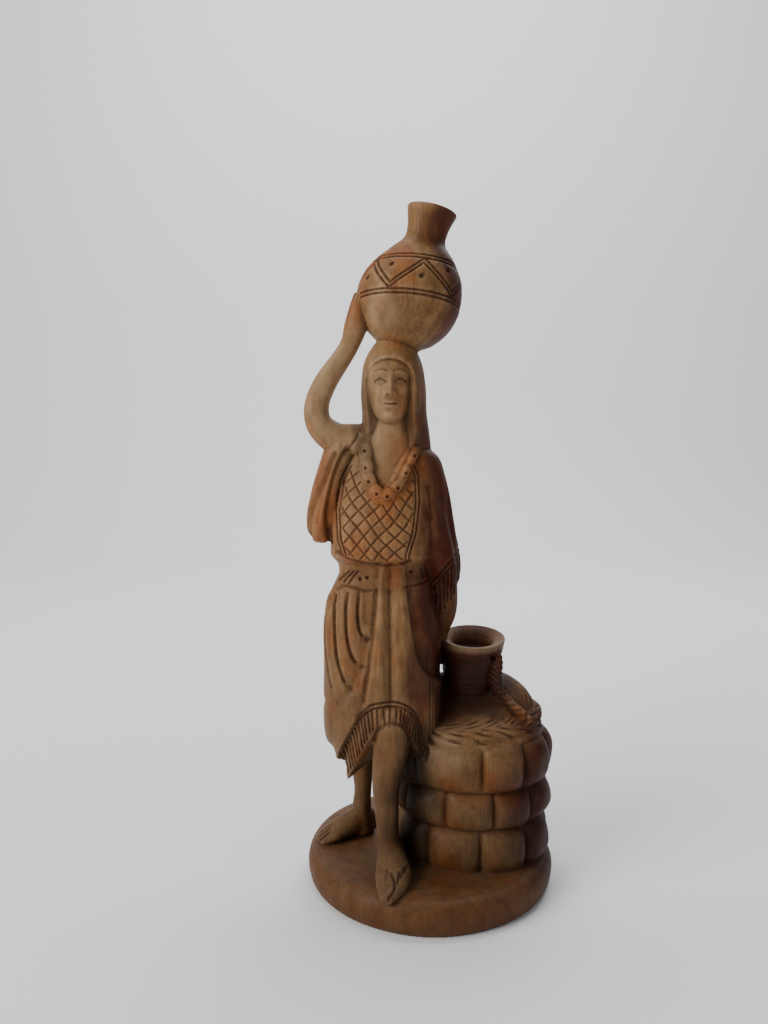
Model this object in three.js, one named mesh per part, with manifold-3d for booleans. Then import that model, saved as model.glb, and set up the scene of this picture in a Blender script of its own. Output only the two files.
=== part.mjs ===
// Carved olive wood figure: a veiled water carrier with a jar on the head, beside a stone well.
// Everything is cut from one log, so it is one solid. Millimetres, +Z up, the figure faces -Y,
// origin in the middle of the flat underside.
import * as THREE from "three";
import Module from "manifold-3d";

const wasm = await Module();
wasm.setup();

// Driving dimensions
const TURN = Math.PI * 2;
const BASE = { radius: 55.5, top: 14.5 };
const WELL = { x: 19, y: -2.5, wide: 31.5, deep: 27.5, top: 68.5, rise: 17, back: 6, points: 40 };
const STONE = { bulge: 3.2, joint: 1.6 };
const COURSES = [
  { low: 12, high: 32, out: -0.1, joints: [-170, -131, -88, -48, -8, 35, 78, 118, 154] },
  { low: 32, high: 48.5, out: 0.2, joints: [-155, -115, -78, -44, -2, 40, 84, 126, 166] },
  { low: 48.5, high: WELL.top, out: 1.2, joints: [-143, -87, -53, -20, 30, 88, 140, 178] },
];
const BUCKET = { x: 19.6, y: 0, lean: 2.4, dip: 2.2, foot: 76, lip: 108.5, narrow: 8.6, wide: 14.3 };
const HOLLOW = { wall: 2.4, depth: 10 };
const JAR = { y: -5, wide: 22.3, neck: 8.6, lip: 10.9, mouth: 7, mouthDepth: 12 };
const SWAG = { x: -26, z: 127, drop: 2.33, first: 8.25, pitch: 5.1, count: 3, radius: 2 };
const COLLAR = { lobes: 8, wide: 2.8, thick: 1.9 };
const HEM = [
  [-46, 48],
  [-41.3, 58.5],
  [-37.1, 68.6],
  [-31.5, 79.4],
  [-26, 85.2],
  [-19, 86.5],
  [-13, 85.8],
  [-8.5, 82.4],
  [-5.5, 77],
  [-3, 68],
  [-1, 60],
];
const SASH = { rise: 1.5, top: 145 };

// Rows are [z, x, y, half width, half depth] for upright forms, read from the bottom up.
const SKIRT = [
  [55, -21.5, -7, 22.5, 17.5],
  [62, -22.2, -7.5, 24.8, 20.5],
  [72, -22.2, -8, 25.3, 22],
  [85, -21.9, -8, 25.5, 21.6],
  [100, -21.6, -8, 25.6, 20.5],
  [113, -21.6, -8, 25.9, 19.2],
  [124, -21.8, -8, 25.1, 17.9],
  [131, -21.2, -8, 22.8, 16.6],
  [139, -20.4, -8, 20, 15],
];
const TORSO = [
  [136, -20.4, -8, 19.8, 14.6],
  [143, -20.4, -8, 20.2, 15],
  [146, -20.8, -8.4, 21.5, 17],
  [150, -21.3, -9, 22.6, 18.8],
  [158, -21.5, -9.2, 22.8, 19.3],
  [168, -21, -8.2, 21.8, 17],
  [178, -20, -6.6, 20.8, 14.2],
  [187, -18.8, -5, 18.6, 11.8],
  [195, -17.6, -4.2, 14.5, 9.8],
  [201, -17, -4, 9.5, 8],
];
const MANTLE = [
  [196, -9, -3.6, 3, 4.5],
  [190, -5.8, -4, 8.8, 9.4],
  [180, -4, -4.6, 10.4, 11.6],
  [165, -1.8, -5.4, 10.4, 13],
  [150, 0.3, -6, 11.6, 14],
  [142, 1.6, -5.8, 11.4, 13],
  [136, 3, -5.2, 9, 10],
];
const SLEEVE = [
  [204, -36, -3.6, 4, 4.6],
  [196, -38.6, -4.4, 7, 8.4],
  [186, -41.6, -5, 7.4, 9.6],
  [175, -44.2, -5.6, 8, 10.6],
  [164, -45.8, -6, 8.6, 11],
  [157, -45.8, -6, 8.2, 10],
  [152.6, -44.8, -6, 5.4, 7.2],
];
const VEIL = [
  [183, -13.8, -1, 13, 7],
  [190, -14.8, -2.6, 15, 9.6],
  [200, -15.6, -4.6, 14.8, 12.6],
  [209, -16.1, -6, 14, 14.6],
  [219, -16.5, -6.6, 14, 15.2],
  [228, -16.8, -6.4, 13, 14.2],
  [234, -16.8, -6.2, 10.8, 11.9],
  [239.5, -16.2, -6, 7.6, 8.2],
];
const FACE = [
  [204.2, -17.9, -10.6, 3.2, 5],
  [206, -17.9, -10.4, 5.9, 8.6],
  [209.2, -18, -10.3, 8.1, 9.8],
  [214, -18, -10.2, 9.7, 10.2],
  [219.6, -18, -10, 10.4, 10.5],
  [226, -18, -9.8, 10.2, 10.3],
  [231, -17.9, -9, 8.6, 9],
  [235, -17.8, -8.6, 6.4, 7],
];

// Smooth values through rows of numbers, the place among the rows growing evenly with t.
function through(rows, t) {
  const last = rows.length - 1;
  const s = Math.min(Math.max(t, 0) * last, last - 1e-9);
  const i = Math.floor(s);
  const f = s - i;
  const row = (k) => rows[Math.max(0, Math.min(last, k))];
  return rows[i].map((b, c) => {
    const [a, d, e] = [row(i - 1)[c], row(i + 1)[c], row(i + 2)[c]];
    return b + 0.5 * f * (d - a + f * (2 * a - 5 * b + 4 * d - e + f * (3 * (b - d) + e - a)));
  });
}

// 0 below low, 1 above high, smooth between.
function step(low, high, value) {
  const t = Math.min(1, Math.max(0, (value - low) / (high - low)));
  return t * t * (3 - 2 * t);
}

// A rounded hump of height 1 at the middle that fades over a width.
function hump(value, middle, width) {
  return Math.exp(-(((value - middle) / width) ** 2));
}

// A closed skin over rings of points, each end closed by a fan to the ring's middle.
function skin(rings) {
  const around = rings[0].length;
  const points = rings.flat();
  const middle = (ring) => ring.reduce((s, p) => s.add(p), new THREE.Vector3()).divideScalar(around);
  points.push(middle(rings[0]), middle(rings.at(-1)));
  const at = (i, j) => i * around + (j % around);
  const index = [];
  for (let j = 0; j < around; j++) {
    for (let i = 0; i + 1 < rings.length; i++) {
      index.push(at(i, j), at(i, j + 1), at(i + 1, j + 1), at(i, j), at(i + 1, j + 1), at(i + 1, j));
    }
    index.push(points.length - 2, at(0, j + 1), at(0, j));
    index.push(points.length - 1, at(rings.length - 1, j), at(rings.length - 1, j + 1));
  }
  const flat = new Float32Array(points.flatMap((p) => [p.x, p.y, p.z]));
  const geometry = new THREE.BufferGeometry();
  return geometry.setAttribute("position", new THREE.BufferAttribute(flat, 3)).setIndex(index);
}

// A geometry as a solid. A skin that came out facing inwards is turned round.
function solid(geometry) {
  const vertProperties = new Float32Array(geometry.attributes.position.array);
  const triVerts = new Uint32Array(geometry.index.array);
  const make = () => new wasm.Manifold(new wasm.Mesh({ numProp: 3, vertProperties, triVerts }));
  const first = make();
  if (first.volume() > 0) return first;
  for (let i = 0; i < triVerts.length; i += 3) {
    [triVerts[i + 1], triVerts[i + 2]] = [triVerts[i + 2], triVerts[i + 1]];
  }
  return make();
}

// Upright form over rows. square above 2 fills its corners, front packs the points towards -Y,
// relief(x, z, angle) is carved outwards and lift(x, share) raises the hem.
function upright(rows, around, levels, { square = 2, front = 0, relief = () => 0, lift = () => 0 } = {}) {
  const rings = [];
  for (let i = 0; i <= levels; i++) {
    const [z, x, y, a, b] = through(rows, i / levels);
    rings.push(
      Array.from({ length: around }, (_, j) => {
        const place = (j / around) * TURN;
        const angle = place - front * Math.sin(place) - TURN / 4;
        const [c, s] = [Math.cos(angle), Math.sin(angle)];
        const r = (Math.abs(c / a) ** square + Math.abs(s / b) ** square) ** (-1 / square);
        const up = z + lift(x + r * c, s, i / levels);
        const out = r + relief(x + r * c, up, angle);
        return new THREE.Vector3(x + out * c, y + out * s, up);
      }),
    );
  }
  return solid(skin(rings));
}

// Limb along a path of rows [x, y, z, half width, half thickness]. across is where its width lies.
function limb(rows, around, levels, across = [1, 0, 0]) {
  const side = new THREE.Vector3(...across);
  const place = (t) => new THREE.Vector3(...through(rows, t).slice(0, 3));
  const rings = [];
  for (let i = 0; i <= levels; i++) {
    const t = i / levels;
    const [, , , a, b] = through(rows, t);
    const along = place(Math.min(1, t + 0.03)).sub(place(Math.max(0, t - 0.03))).normalize();
    const thick = new THREE.Vector3().crossVectors(along, side).normalize();
    const wide = new THREE.Vector3().crossVectors(thick, along);
    rings.push(
      Array.from({ length: around }, (_, j) => {
        const angle = (j / around) * TURN;
        const [c, s] = [a * Math.cos(angle), b * Math.sin(angle)];
        return place(t).addScaledVector(wide, c).addScaledVector(thick, s);
      }),
    );
  }
  return solid(skin(rings));
}

const union = (list) => list.reduce((a, b) => a.add(b));

// Round foot plate with a swollen side and a well rounded upper edge.
function base() {
  const { radius: r, top } = BASE;
  const rows = [
    [0, 0, 0, r - 3, r - 3],
    [2, 0, 0, r - 0.9, r - 0.9],
    [7, 0, 0, r, r],
    [11, 0, 0, r - 0.9, r - 0.9],
    [top - 0.8, 0, 0, r - 3.6, r - 3.6],
    [top, 0, 0, r - 8, r - 8],
  ];
  return upright(rows, 36, 4);
}

// Places round a course: one on every joint and the rest spread over the stones between.
function placesOf(course, count) {
  const stops = course.joints.map((joint) => Math.round(((joint + 180) / 360) * count));
  const places = [];
  course.joints.forEach((joint, k) => {
    const last = k + 1 === stops.length;
    const width = (last ? course.joints[0] + 360 : course.joints[k + 1]) - joint;
    const share = (last ? stops[0] + count : stops[k + 1]) - stops[k];
    for (let j = 0; j < share; j++) {
      const side = j === 0 ? 0 : 0.13 + (0.74 * (j - 1)) / (share - 2);
      places[(stops[k] + j) % count] = { side, angle: ((joint + side * width) / 360) * TURN };
    }
  });
  return places;
}

// How far a stone stands out from the wall: swollen in its middle, cut in at its joints.
function stone(course, side, up) {
  const swell = (1 - Math.abs(2 * up - 1) ** 2.6) * (1 - Math.abs(2 * side - 1) ** 6);
  return course.out + STONE.bulge * swell - STONE.joint * (1 - swell) ** 3;
}

// Height of the rocky mound on the well, rounded off in front and higher and fuller at the back.
function mound(share, angle) {
  const [c, s] = [Math.cos(angle), Math.sin(angle)];
  const power = 1.6 + 2.9 * step(-0.8, 0.3, s + 0.25 * c);
  const bell = step(-0.2, 0.4, share * s + 0.15) * (1 - share ** 5);
  return WELL.top + WELL.rise * (1 - share ** power) + WELL.back * bell;
}

// Well: three courses of swollen stones with the mound on top.
function well() {
  const ring = (places, share, z, out) =>
    places.map(({ side, angle }) => {
      const stand = out(side);
      const x = WELL.x + (WELL.wide * share + stand) * Math.cos(angle);
      const y = WELL.y + (WELL.deep * share + stand) * Math.sin(angle);
      return new THREE.Vector3(x, y, z(angle));
    });
  const rings = [];
  for (const course of COURSES) {
    const places = placesOf(course, WELL.points);
    for (const up of [0.04, 0.3, 0.7, 0.96]) {
      const z = course.low + up * (course.high - course.low);
      rings.push(ring(places, 1, () => z, (side) => stone(course, side, up)));
    }
  }
  for (const share of [0.95, 0.72, 0.42]) {
    rings.push(ring(placesOf(COURSES[2], WELL.points), share, (angle) => mound(share, angle), () => 0.8));
  }
  return solid(skin(rings));
}

// Flat rope that lies round the front of the mound, from the bucket's side to the skirt.
function rope() {
  const rows = Array.from({ length: 12 }, (_, i) => {
    const angle = (-172 + 16 * i) * (TURN / 360);
    const share = 0.86 + 0.04 * Math.sin(2 * angle + 0.7);
    const [x, y] = [WELL.wide * share * Math.cos(angle), WELL.deep * share * Math.sin(angle)];
    return [WELL.x + x, WELL.y + y, mound(share, angle), 4.2, 1.6];
  });
  return limb(rows, 5, 13, [0, 0, 1]);
}

// Bucket with flared sides that leans a little, and the rope that falls from its ear.
function bucket() {
  const { x, y, lean, foot, lip, narrow, wide, dip } = BUCKET;
  const outer = [0, 0.35, 0.7, 1].map((t) => {
    const r = narrow + (wide - narrow) * t ** 0.9;
    return [foot + (lip - foot) * t, x - lean * (1 - t), y, r, r];
  });
  const fall = [
    [29.4, -8.6, 104, 1.8, 1.8],
    [29.2, -9.4, 98, 2.8, 2.2],
    [28.8, -9.8, 92, 3, 2.2],
    [30.2, -10.6, 86.6, 3.2, 2],
    [36, -13.4, 80, 3.8, 1.7],
    [41.4, -15.6, 74, 3.6, 1],
  ];
  const body = upright(outer, 20, 4, { lift: (_, s, t) => dip * s * t ** 4 });
  return body.add(limb(fall, 6, 6, [0.7, -0.7, 0.3]));
}
function bucketHollow() {
  const { x, y, lip, wide } = BUCKET;
  const { wall, depth } = HOLLOW;
  const inner = wide - wall;
  const rows = [
    [lip - depth, x, y, inner - 7, inner - 7],
    [lip - depth * 0.75, x, y, inner - 2.8, inner - 2.8],
    [lip - depth * 0.35, x, y, inner - 0.8, inner - 0.8],
    [lip + 3, x, y, inner, inner],
  ];
  return upright(rows, 20, 3);
}

// The sash down the front of the skirt widens towards the hem and has two soft ridges.
function sash(x, z) {
  const down = SASH.top - z;
  const left = -22.4 - 0.055 * down - 0.0009 * down * down;
  const right = -12.2 + 0.04 * down + 0.0024 * down * down + 0.034 * Math.max(0, down - 38) ** 2;
  const cloth = step(left - 1.3, left + 1.3, x) * step(right + 1.3, right - 1.3, x);
  const ridges = hump(x, -21.6 - 0.02 * down, 2.4) + hump(x, -14.8 + 0.05 * down, 2.8);
  return cloth * (SASH.rise + 0.9 * ridges);
}

// Height of the line along the skirt's hem: up over the knee and down again at the well.
function hemLine(x) {
  const i = Math.max(1, HEM.findIndex((row, k) => row[0] >= x || k + 1 === HEM.length));
  const [[x0, z0], [x1, z1]] = [HEM[i - 1], HEM[i]];
  return z0 + (z1 - z0) * Math.min(1, Math.max(0, (x - x0) / (x1 - x0)));
}
function skirtFolds(x, z, angle) {
  const front = step(0.15, -0.25, Math.sin(angle));
  const pleats = 0.6 * Math.sin(angle * 9) * step(134, 118, z);
  const corner = 3.6 * step(-33, -43, x) * step(hemLine(x) + 2, hemLine(x) - 2, z);
  return front * (sash(x, z) - corner) + (1 - front) * pleats;
}

// Where an upright form's front lies at x and z.
function frontOf(rows, square, x, z) {
  let [low, high] = [0, 1];
  for (let i = 0; i < 30; i++) {
    const middle = (low + high) / 2;
    if (through(rows, middle)[0] < z) low = middle;
    else high = middle;
  }
  const [, cx, cy, a, b] = through(rows, low);
  return cy - b * Math.max(0, 1 - Math.abs((x - cx) / a) ** square) ** (1 / square);
}

// Nested swags beside the sash: each falls from the belt and curves round to the sash.
function swags() {
  const drape = (q) =>
    Array.from({ length: 9 }, (_, i) => {
      const turn = (Math.max(0, i - 1) / 7) * 1.45;
      const x = SWAG.x - q * Math.cos(turn) ** (2 / 3) * (i === 0 ? 0.84 : 1);
      const z = SWAG.z - SWAG.drop * q * Math.sin(turn) ** (2 / 3) + (i === 0 ? 6 : 0);
      const sunk = i === 0 ? 2.2 : 0.7;
      return [x, frontOf(SKIRT, 2.3, x, z) + sunk, z, SWAG.radius, SWAG.radius];
    });
  const rows = Array.from({ length: SWAG.count }, (_, k) => drape(SWAG.first + SWAG.pitch * k));
  return union(rows.map((row) => limb(row, 6, 9, [0.6, 1, 0.4])));
}

// Raised border that runs over the knee above the fringe.
function border() {
  const rows = Array.from({ length: 11 }, (_, i) => {
    const x = -42.5 + 4 * i;
    const z = hemLine(x) + 0.9;
    return [x, frontOf(SKIRT, 2.3, x, z) - sash(x, z) + 0.1, z, 1.4, 1.4];
  });
  return limb(rows, 5, 14, [0, 0, 1]);
}

// Height of the skirt's hem above its lowest row, from the point's x and how far it faces the front.
function hem(x, s, t) {
  const front = step(0.1, -0.6, s);
  const arch = 19 * hump(x, -18, 10.5) + 9 * step(-8, 2, x);
  const dip = 4 * hump(x, -37, 6) * front + 10 * step(-0.8, -0.2, s) * step(-16, -29, x);
  return (1 - t) ** 2.2 * (front * arch - dip + 2 * step(-40, -48, x));
}

function skirt() {
  const cloth = upright(SKIRT, 38, 12, { square: 2.3, front: 0.45, relief: skirtFolds, lift: hem });
  return union([cloth, swags(), border()]);
}

// Bodice, shoulders and the short fall of cloth over the belt.
function torso() {
  const relief = (x, z, angle) => {
    const back = step(0.1, 0.7, Math.sin(angle));
    const front = step(0.15, -0.25, Math.sin(angle)) * step(145.4, 144.6, z);
    const folds = 0.7 * back * Math.sin(x * 0.75 + z * 0.05) * step(140, 152, z) * step(196, 184, z);
    return front * sash(x, z) + folds;
  };
  return upright(TORSO, 28, 9, { square: 2.3, front: 0.3, relief });
}

// Mantle over the other shoulder, its hem running slantwise down to a point.
function mantle() {
  const relief = (x, z, angle) => 0.6 * Math.sin(angle * 5 + z * 0.09) * step(190, 176, z);
  const lift = (x, s, t) => t ** 3 * (6 * step(0, -1, s) * step(6, -8, x) - 3 * step(4, 12, x));
  return upright(MANTLE, 18, 8, { relief, lift });
}

// Loose cape sleeve hanging from the raised arm's shoulder, with folds that fan out downwards.
function sleeve() {
  const relief = (x, z, angle) => {
    const waves = 0.9 * Math.sin(angle * 6 + 0.6) * step(-0.3, 0.3, Math.sin(angle));
    const roll = 1.6 * hump(x, -40.2 - 0.31 * (188 - z), 3.2) * step(0, -0.5, Math.sin(angle));
    return step(203, 176, z) * (waves + roll);
  };
  return upright(SLEEVE, 20, 7, { relief, front: 0.25 });
}

function shoulder() {
  const rows = [
    [-18, -4.5, 194, 8, 7],
    [-27, -5, 195.5, 8, 7.6],
    [-34, -5, 196, 8, 8],
    [-39, -5, 195, 6, 7],
  ];
  return limb(rows, 9, 4);
}

function raisedArm() {
  const rows = [
    [-31, -4, 195, 8, 8],
    [-41.4, -5, 197.5, 7, 7.4],
    [-48.8, -6, 204, 5.8, 6.4],
    [-49.6, -6, 213, 5.3, 5.6],
    [-45.2, -6, 223, 4.9, 5.2],
    [-39, -6, 232, 4.3, 4.6],
    [-35.2, -6, 238.5, 4.2, 4.8],
    [-32.9, -6.5, 245.5, 4.9, 6.4],
    [-31.6, -7, 253, 4, 6],
    [-30.8, -7, 259, 2.7, 4.8],
  ];
  return limb(rows, 10, 13, [1, 0, 0.2]);
}

// Forearm that comes out under the mantle, and the hand that rests on the bucket's edge.
function loweredArm() {
  const rows = [
    [2, -6, 143, 7.6, 8],
    [5, -5.6, 132, 6.8, 7.4],
    [6.2, -4.6, 122, 5.4, 6],
    [4.6, -2.4, 113.5, 4.2, 4.8],
    [4.2, 0.2, 107, 3.4, 4.2],
    [5.2, 1.2, 97.5, 2.5, 3],
  ];
  return limb(rows, 9, 7);
}

// Jar: its axis leans towards the well side. Rows run from its foot to its lip.
function jar() {
  const { y, wide, neck, lip } = JAR;
  const rows = [
    [-15.8, y, 231, 8, 8],
    [-14.8, y, 236.8, 9, 9],
    [-13.8, y, 240.8, 14.6, 14.6],
    [-12.3, y, 247, 19.6, 19.6],
    [-10.7, y, 254.4, wide, wide],
    [-8.7, y, 261.8, wide - 0.3, wide - 0.3],
    [-6.4, y, 268.6, 19.4, 19.4],
    [-4.2, y, 275.4, 14.2, 14.2],
    [-3.2, y, 281.2, neck + 0.6, neck + 0.6],
    [-1.9, y, 287.1, neck + 0.3, neck + 0.3],
    [-0.1, y, 294.3, lip, lip],
  ];
  return limb(rows, 21, 13);
}
function jarHollow() {
  const { y, mouth, mouthDepth } = JAR;
  const rows = [
    [-0.1 - mouthDepth * 0.24, y, 294.3 - mouthDepth, 4.5, 4.5],
    [-1.3, y, 289.2, mouth - 0.6, mouth - 0.6],
    [0.7, y, 297.7, mouth + 1.4, mouth + 1.4],
  ];
  return limb(rows, 14, 2);
}

// Hood and fall of the veil. The opening for the face runs down into the neckline's point.
function hood() {
  const rows = [
    [-18, -40, 216, 10.4, 16.2],
    [-18, -20, 216, 10.2, 15.6],
    [-18, -11, 216, 8.6, 13],
  ];
  const opening = limb(rows, 16, 2);
  const relief = (x, z, angle) => 0.5 * step(0, 0.6, Math.sin(angle)) * Math.sin(x * 0.8) * step(230, 210, z);
  return upright(VEIL, 22, 8, { front: 0.2, relief }).subtract(opening);
}
function neckline() {
  const rows = [
    [-17.8, -24, 208, 9.6, 11.4],
    [-17.5, -24, 198, 9.4, 10.8],
    [-19.4, -24, 188.5, 6.6, 9],
    [-21.6, -26, 177, 1.8, 6],
  ];
  return limb(rows, 14, 6);
}
// Scalloped edge along the neckline, lying on the front of the bodice: wide and narrow in turns.
function collar() {
  const line = [
    [-28.6, 195],
    [-28.2, 186.5],
    [-26.4, 179],
    [-21.4, 173.6],
    [-15.4, 176.6],
    [-11, 184.5],
    [-6.6, 193],
  ];
  const rows = Array.from({ length: 2 * COLLAR.lobes + 1 }, (_, i) => {
    const [x, z] = through(line, i / (2 * COLLAR.lobes));
    const size = i % 2 ? 1.05 : 0.8;
    return [x, frontOf(TORSO, 2.3, x, z) - 0.1, z, COLLAR.wide * size, COLLAR.thick * size];
  });
  return limb(rows, 5, 2 * COLLAR.lobes, [0.5, 0.3, 1]);
}
function neck() {
  const rows = [
    [-17.6, -7, 209, 7.2, 6.8],
    [-17.6, -7, 202, 8, 7],
    [-18.2, -7, 194, 11.6, 7.6],
    [-19.2, -8, 184, 10, 8.4],
  ];
  return limb(rows, 14, 5);
}

// Face on even proportions: brow, eye hollows, nose, lips and chin as soft reliefs.
function face() {
  const relief = (x, z, angle) => {
    const front = step(0.2, -0.7, Math.sin(angle));
    const off = Math.abs(x + 18);
    const nose = 2.4 * hump(off, 0, 1.9) * step(227, 216.5, z) * step(213.2, 215.2, z);
    const eyes = -1.1 * hump(off, 4.4, 2.4) * hump(z, 221.8, 2);
    const lips = 0.8 * hump(off, 0, 3) * hump(z, 211.8, 1.4);
    const chin = 0.9 * hump(off, 0, 3) * hump(z, 206.6, 1.8);
    return front * (nose + eyes + lips + chin);
  };
  return upright(FACE, 24, 12, { front: 0.6, square: 2.2, relief });
}

function legs() {
  const shin = [
    [-17.4, -20, 84, 7, 6],
    [-17, -24.6, 73, 7.8, 6.6],
    [-18.6, -26.6, 62, 7.2, 7],
    [-19.8, -27, 50, 5.8, 6.4],
    [-19.4, -27, 38, 5, 5.4],
    [-18.8, -26, 28, 4.7, 5.4],
    [-18.4, -24, 17, 5, 6],
  ];
  const frontFoot = [
    [-18, -17, 18.5, 4, 4.5],
    [-18, -23, 21.5, 5.4, 7.5],
    [-17.4, -32, 20.3, 6.4, 6.2],
    [-16.9, -38.5, 18.2, 7.4, 4.4],
    [-17.9, -45.5, 16.5, 6.2, 3.2],
    [-20.2, -53, 14.8, 2.6, 1.7],
  ];
  const rear = [
    [-31, 1, 64, 7, 7],
    [-30.6, 2, 50, 5.4, 5.8],
    [-30.4, 3, 37, 4, 4.6],
    [-31, 4.5, 27, 4.4, 5.2],
    [-31, 5, 16, 5, 6],
  ];
  const rearFoot = [
    [-26, 8, 17.5, 4.2, 4.2],
    [-31, 5, 20.5, 5.2, 7],
    [-38, 1.4, 19.6, 6, 5],
    [-44.6, -2, 17.4, 6.4, 3.2],
    [-50.4, -5, 15.2, 4, 1.6],
  ];
  return union([
    limb(shin, 10, 7),
    limb(frontFoot, 10, 7),
    limb(rear, 8, 4),
    limb(rearFoot, 10, 6, [0.45, -0.9, 0]),
  ]);
}

function statue() {
  const stand = union([base(), well(), rope(), bucket()]).subtract(bucketHollow());
  const dress = union([skirt(), torso()]).subtract(neckline()).add(collar());
  const head = union([hood().subtract(neckline()), neck(), face()]);
  const vessel = jar().subtract(jarHollow());
  const arms = union([shoulder(), raisedArm(), sleeve(), loweredArm()]);
  return union([stand, dress, mantle(), head, arms, vessel, legs()]);
}

const { vertProperties, triVerts } = statue().getMesh();
const geometry = new THREE.BufferGeometry()
  .setAttribute("position", new THREE.BufferAttribute(new Float32Array(vertProperties), 3))
  .setIndex(new THREE.BufferAttribute(new Uint32Array(triVerts), 1));
const wood = new THREE.MeshStandardMaterial({ color: 0x8a6238, roughness: 0.55, metalness: 0 });
const figure = new THREE.Mesh(geometry, wood);
figure.name = "statue";
const group = new THREE.Group();
group.name = "water_carrier_figure";
group.add(figure);
export default group;
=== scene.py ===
# %% [markdown]
# # Carved olive wood water carrier
#
# The real piece is one log of olive wood: a veiled figure with a jar on the head, a stone well
# with a bucket, and the round foot are all cut from it. So this script makes one closed piece.
# The order is a carver's: rough forms as closed skins, one merge, the cuts of the knife, then
# the wood.
#
# Forms are laid out in millimetres in the frame's own axes (+Z up, the figure faces -Y) and the
# piece is written in metres.

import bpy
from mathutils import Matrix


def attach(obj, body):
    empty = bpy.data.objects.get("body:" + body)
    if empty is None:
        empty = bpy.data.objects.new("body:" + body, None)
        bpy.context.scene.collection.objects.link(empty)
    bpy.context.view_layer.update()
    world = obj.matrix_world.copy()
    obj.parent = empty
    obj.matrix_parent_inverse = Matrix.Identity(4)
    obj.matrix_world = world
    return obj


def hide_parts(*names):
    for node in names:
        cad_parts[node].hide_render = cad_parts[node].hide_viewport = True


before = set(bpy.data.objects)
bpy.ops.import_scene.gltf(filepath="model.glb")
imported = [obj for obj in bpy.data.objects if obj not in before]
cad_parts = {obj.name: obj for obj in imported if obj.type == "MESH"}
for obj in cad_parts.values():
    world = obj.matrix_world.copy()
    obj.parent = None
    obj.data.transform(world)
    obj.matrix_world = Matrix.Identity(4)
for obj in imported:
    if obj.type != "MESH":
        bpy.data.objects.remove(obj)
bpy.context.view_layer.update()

from functools import partialmethod
from math import pi, radians

import bmesh
import bpy
import numpy as np

MM = 0.001
TURN = 2 * pi
VOXEL = 0.42
BUDGET = 190_000
UNDERSIDE = 0.35

# %% [markdown]
# ## Camera
#
# A close view from the height of the figure's shoulders, tipped down a little. Distance, height
# and tilt are fitted to the ellipse of the round foot.

# %%
EYE = (-0.02065, -0.3557, 0.1943)
TILT = radians(4.698)

camera = bpy.data.objects.new("camera", bpy.data.cameras.new("camera"))
camera.data.sensor_width = 36
camera.data.lens = 28.125
camera.location = EYE
camera.rotation_euler = (pi / 2 - TILT, 0, 0)
bpy.context.scene.collection.objects.link(camera)
bpy.context.scene.camera = camera

# %% [markdown]
# ## Tools for forms
#
# A limb or a skirt is a stack of rings whose middle and size change smoothly. A few rows of
# numbers give those changes, and a Catmull-Rom curve runs through the rows. This is chosen over
# subdivision cages because every ring stays a plain formula that later cuts can ask about.

# %%
def through(rows, t):
    """p = b + f/2 (d - a + f (2a - 5b + 4d - e + f (3(b - d) + e - a))) between rows b and d."""
    rows = np.asarray(rows, float)
    last = len(rows) - 1
    s = np.clip(np.asarray(t, float) * last, 0, last - 1e-9)
    i = np.floor(s).astype(int)
    f = (s - i)[..., None]
    a, b, d, e = (rows[np.clip(i + k, 0, last)] for k in (-1, 0, 1, 2))
    return b + 0.5 * f * (d - a + f * (2 * a - 5 * b + 4 * d - e + f * (3 * (b - d) + e - a)))


def step(low, high, value):
    """0 below low, 1 above high, 3t^2 - 2t^3 between. Works downwards when high < low."""
    t = np.clip((np.asarray(value, float) - low) / (high - low), 0, 1)
    return t * t * (3 - 2 * t)


def hump(value, middle, width):
    """exp(-((value - middle) / width)^2)"""
    return np.exp(-(((value - middle) / width) ** 2))


def unit(v):
    """Vectors scaled to length 1."""
    return v / np.maximum(np.linalg.norm(v, axis=-1, keepdims=True), 1e-12)


def skin(grid):
    """Triangles of a closed skin: rings of the grid (rings, around, 3) joined, ends fanned."""
    rings, around = grid.shape[:2]
    ring = np.arange(rings * around).reshape(rings, around)
    beside = np.roll(ring, -1, axis=1)
    side = [
        np.stack([ring[:-1], beside[:-1], beside[1:]], -1).reshape(-1, 3),
        np.stack([ring[:-1], beside[1:], ring[1:]], -1).reshape(-1, 3),
    ]
    low, high = rings * around, rings * around + 1
    ends = [
        np.stack([np.full(around, low), beside[0], ring[0]], -1),
        np.stack([np.full(around, high), ring[-1], beside[-1]], -1),
    ]
    points = np.vstack([grid.reshape(-1, 3), grid[0].mean(0), grid[-1].mean(0)])
    faces = np.vstack(side + ends)
    a, b, c = (points[faces[:, k]] for k in range(3))
    volume = np.einsum("ij,ij->i", a, np.cross(b, c)).sum()
    return points, faces if volume > 0 else faces[:, ::-1]


def upright(rows, around, levels, square=2.0, relief=None, lift=None):
    """Rings of rows [z, x, y, a, b]: r = (|cos/a|^n + |sin/b|^n)^(-1/n) + relief, z + lift."""
    t = np.linspace(0, 1, levels)[:, None]
    angle = np.linspace(0, TURN, around, endpoint=False)[None, :] - TURN / 4
    z, x, y, a, b = np.moveaxis(through(rows, t), -1, 0)
    c, s = np.cos(angle), np.sin(angle)
    r = (np.abs(c / a) ** square + np.abs(s / b) ** square) ** (-1 / square)
    up = z + (lift(x + r * c, s, t) if lift else 0 * r)
    out = r + (relief(x + r * c, up, angle) if relief else 0)
    return skin(np.stack([x + out * c, y + out * s, up], -1))


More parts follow.
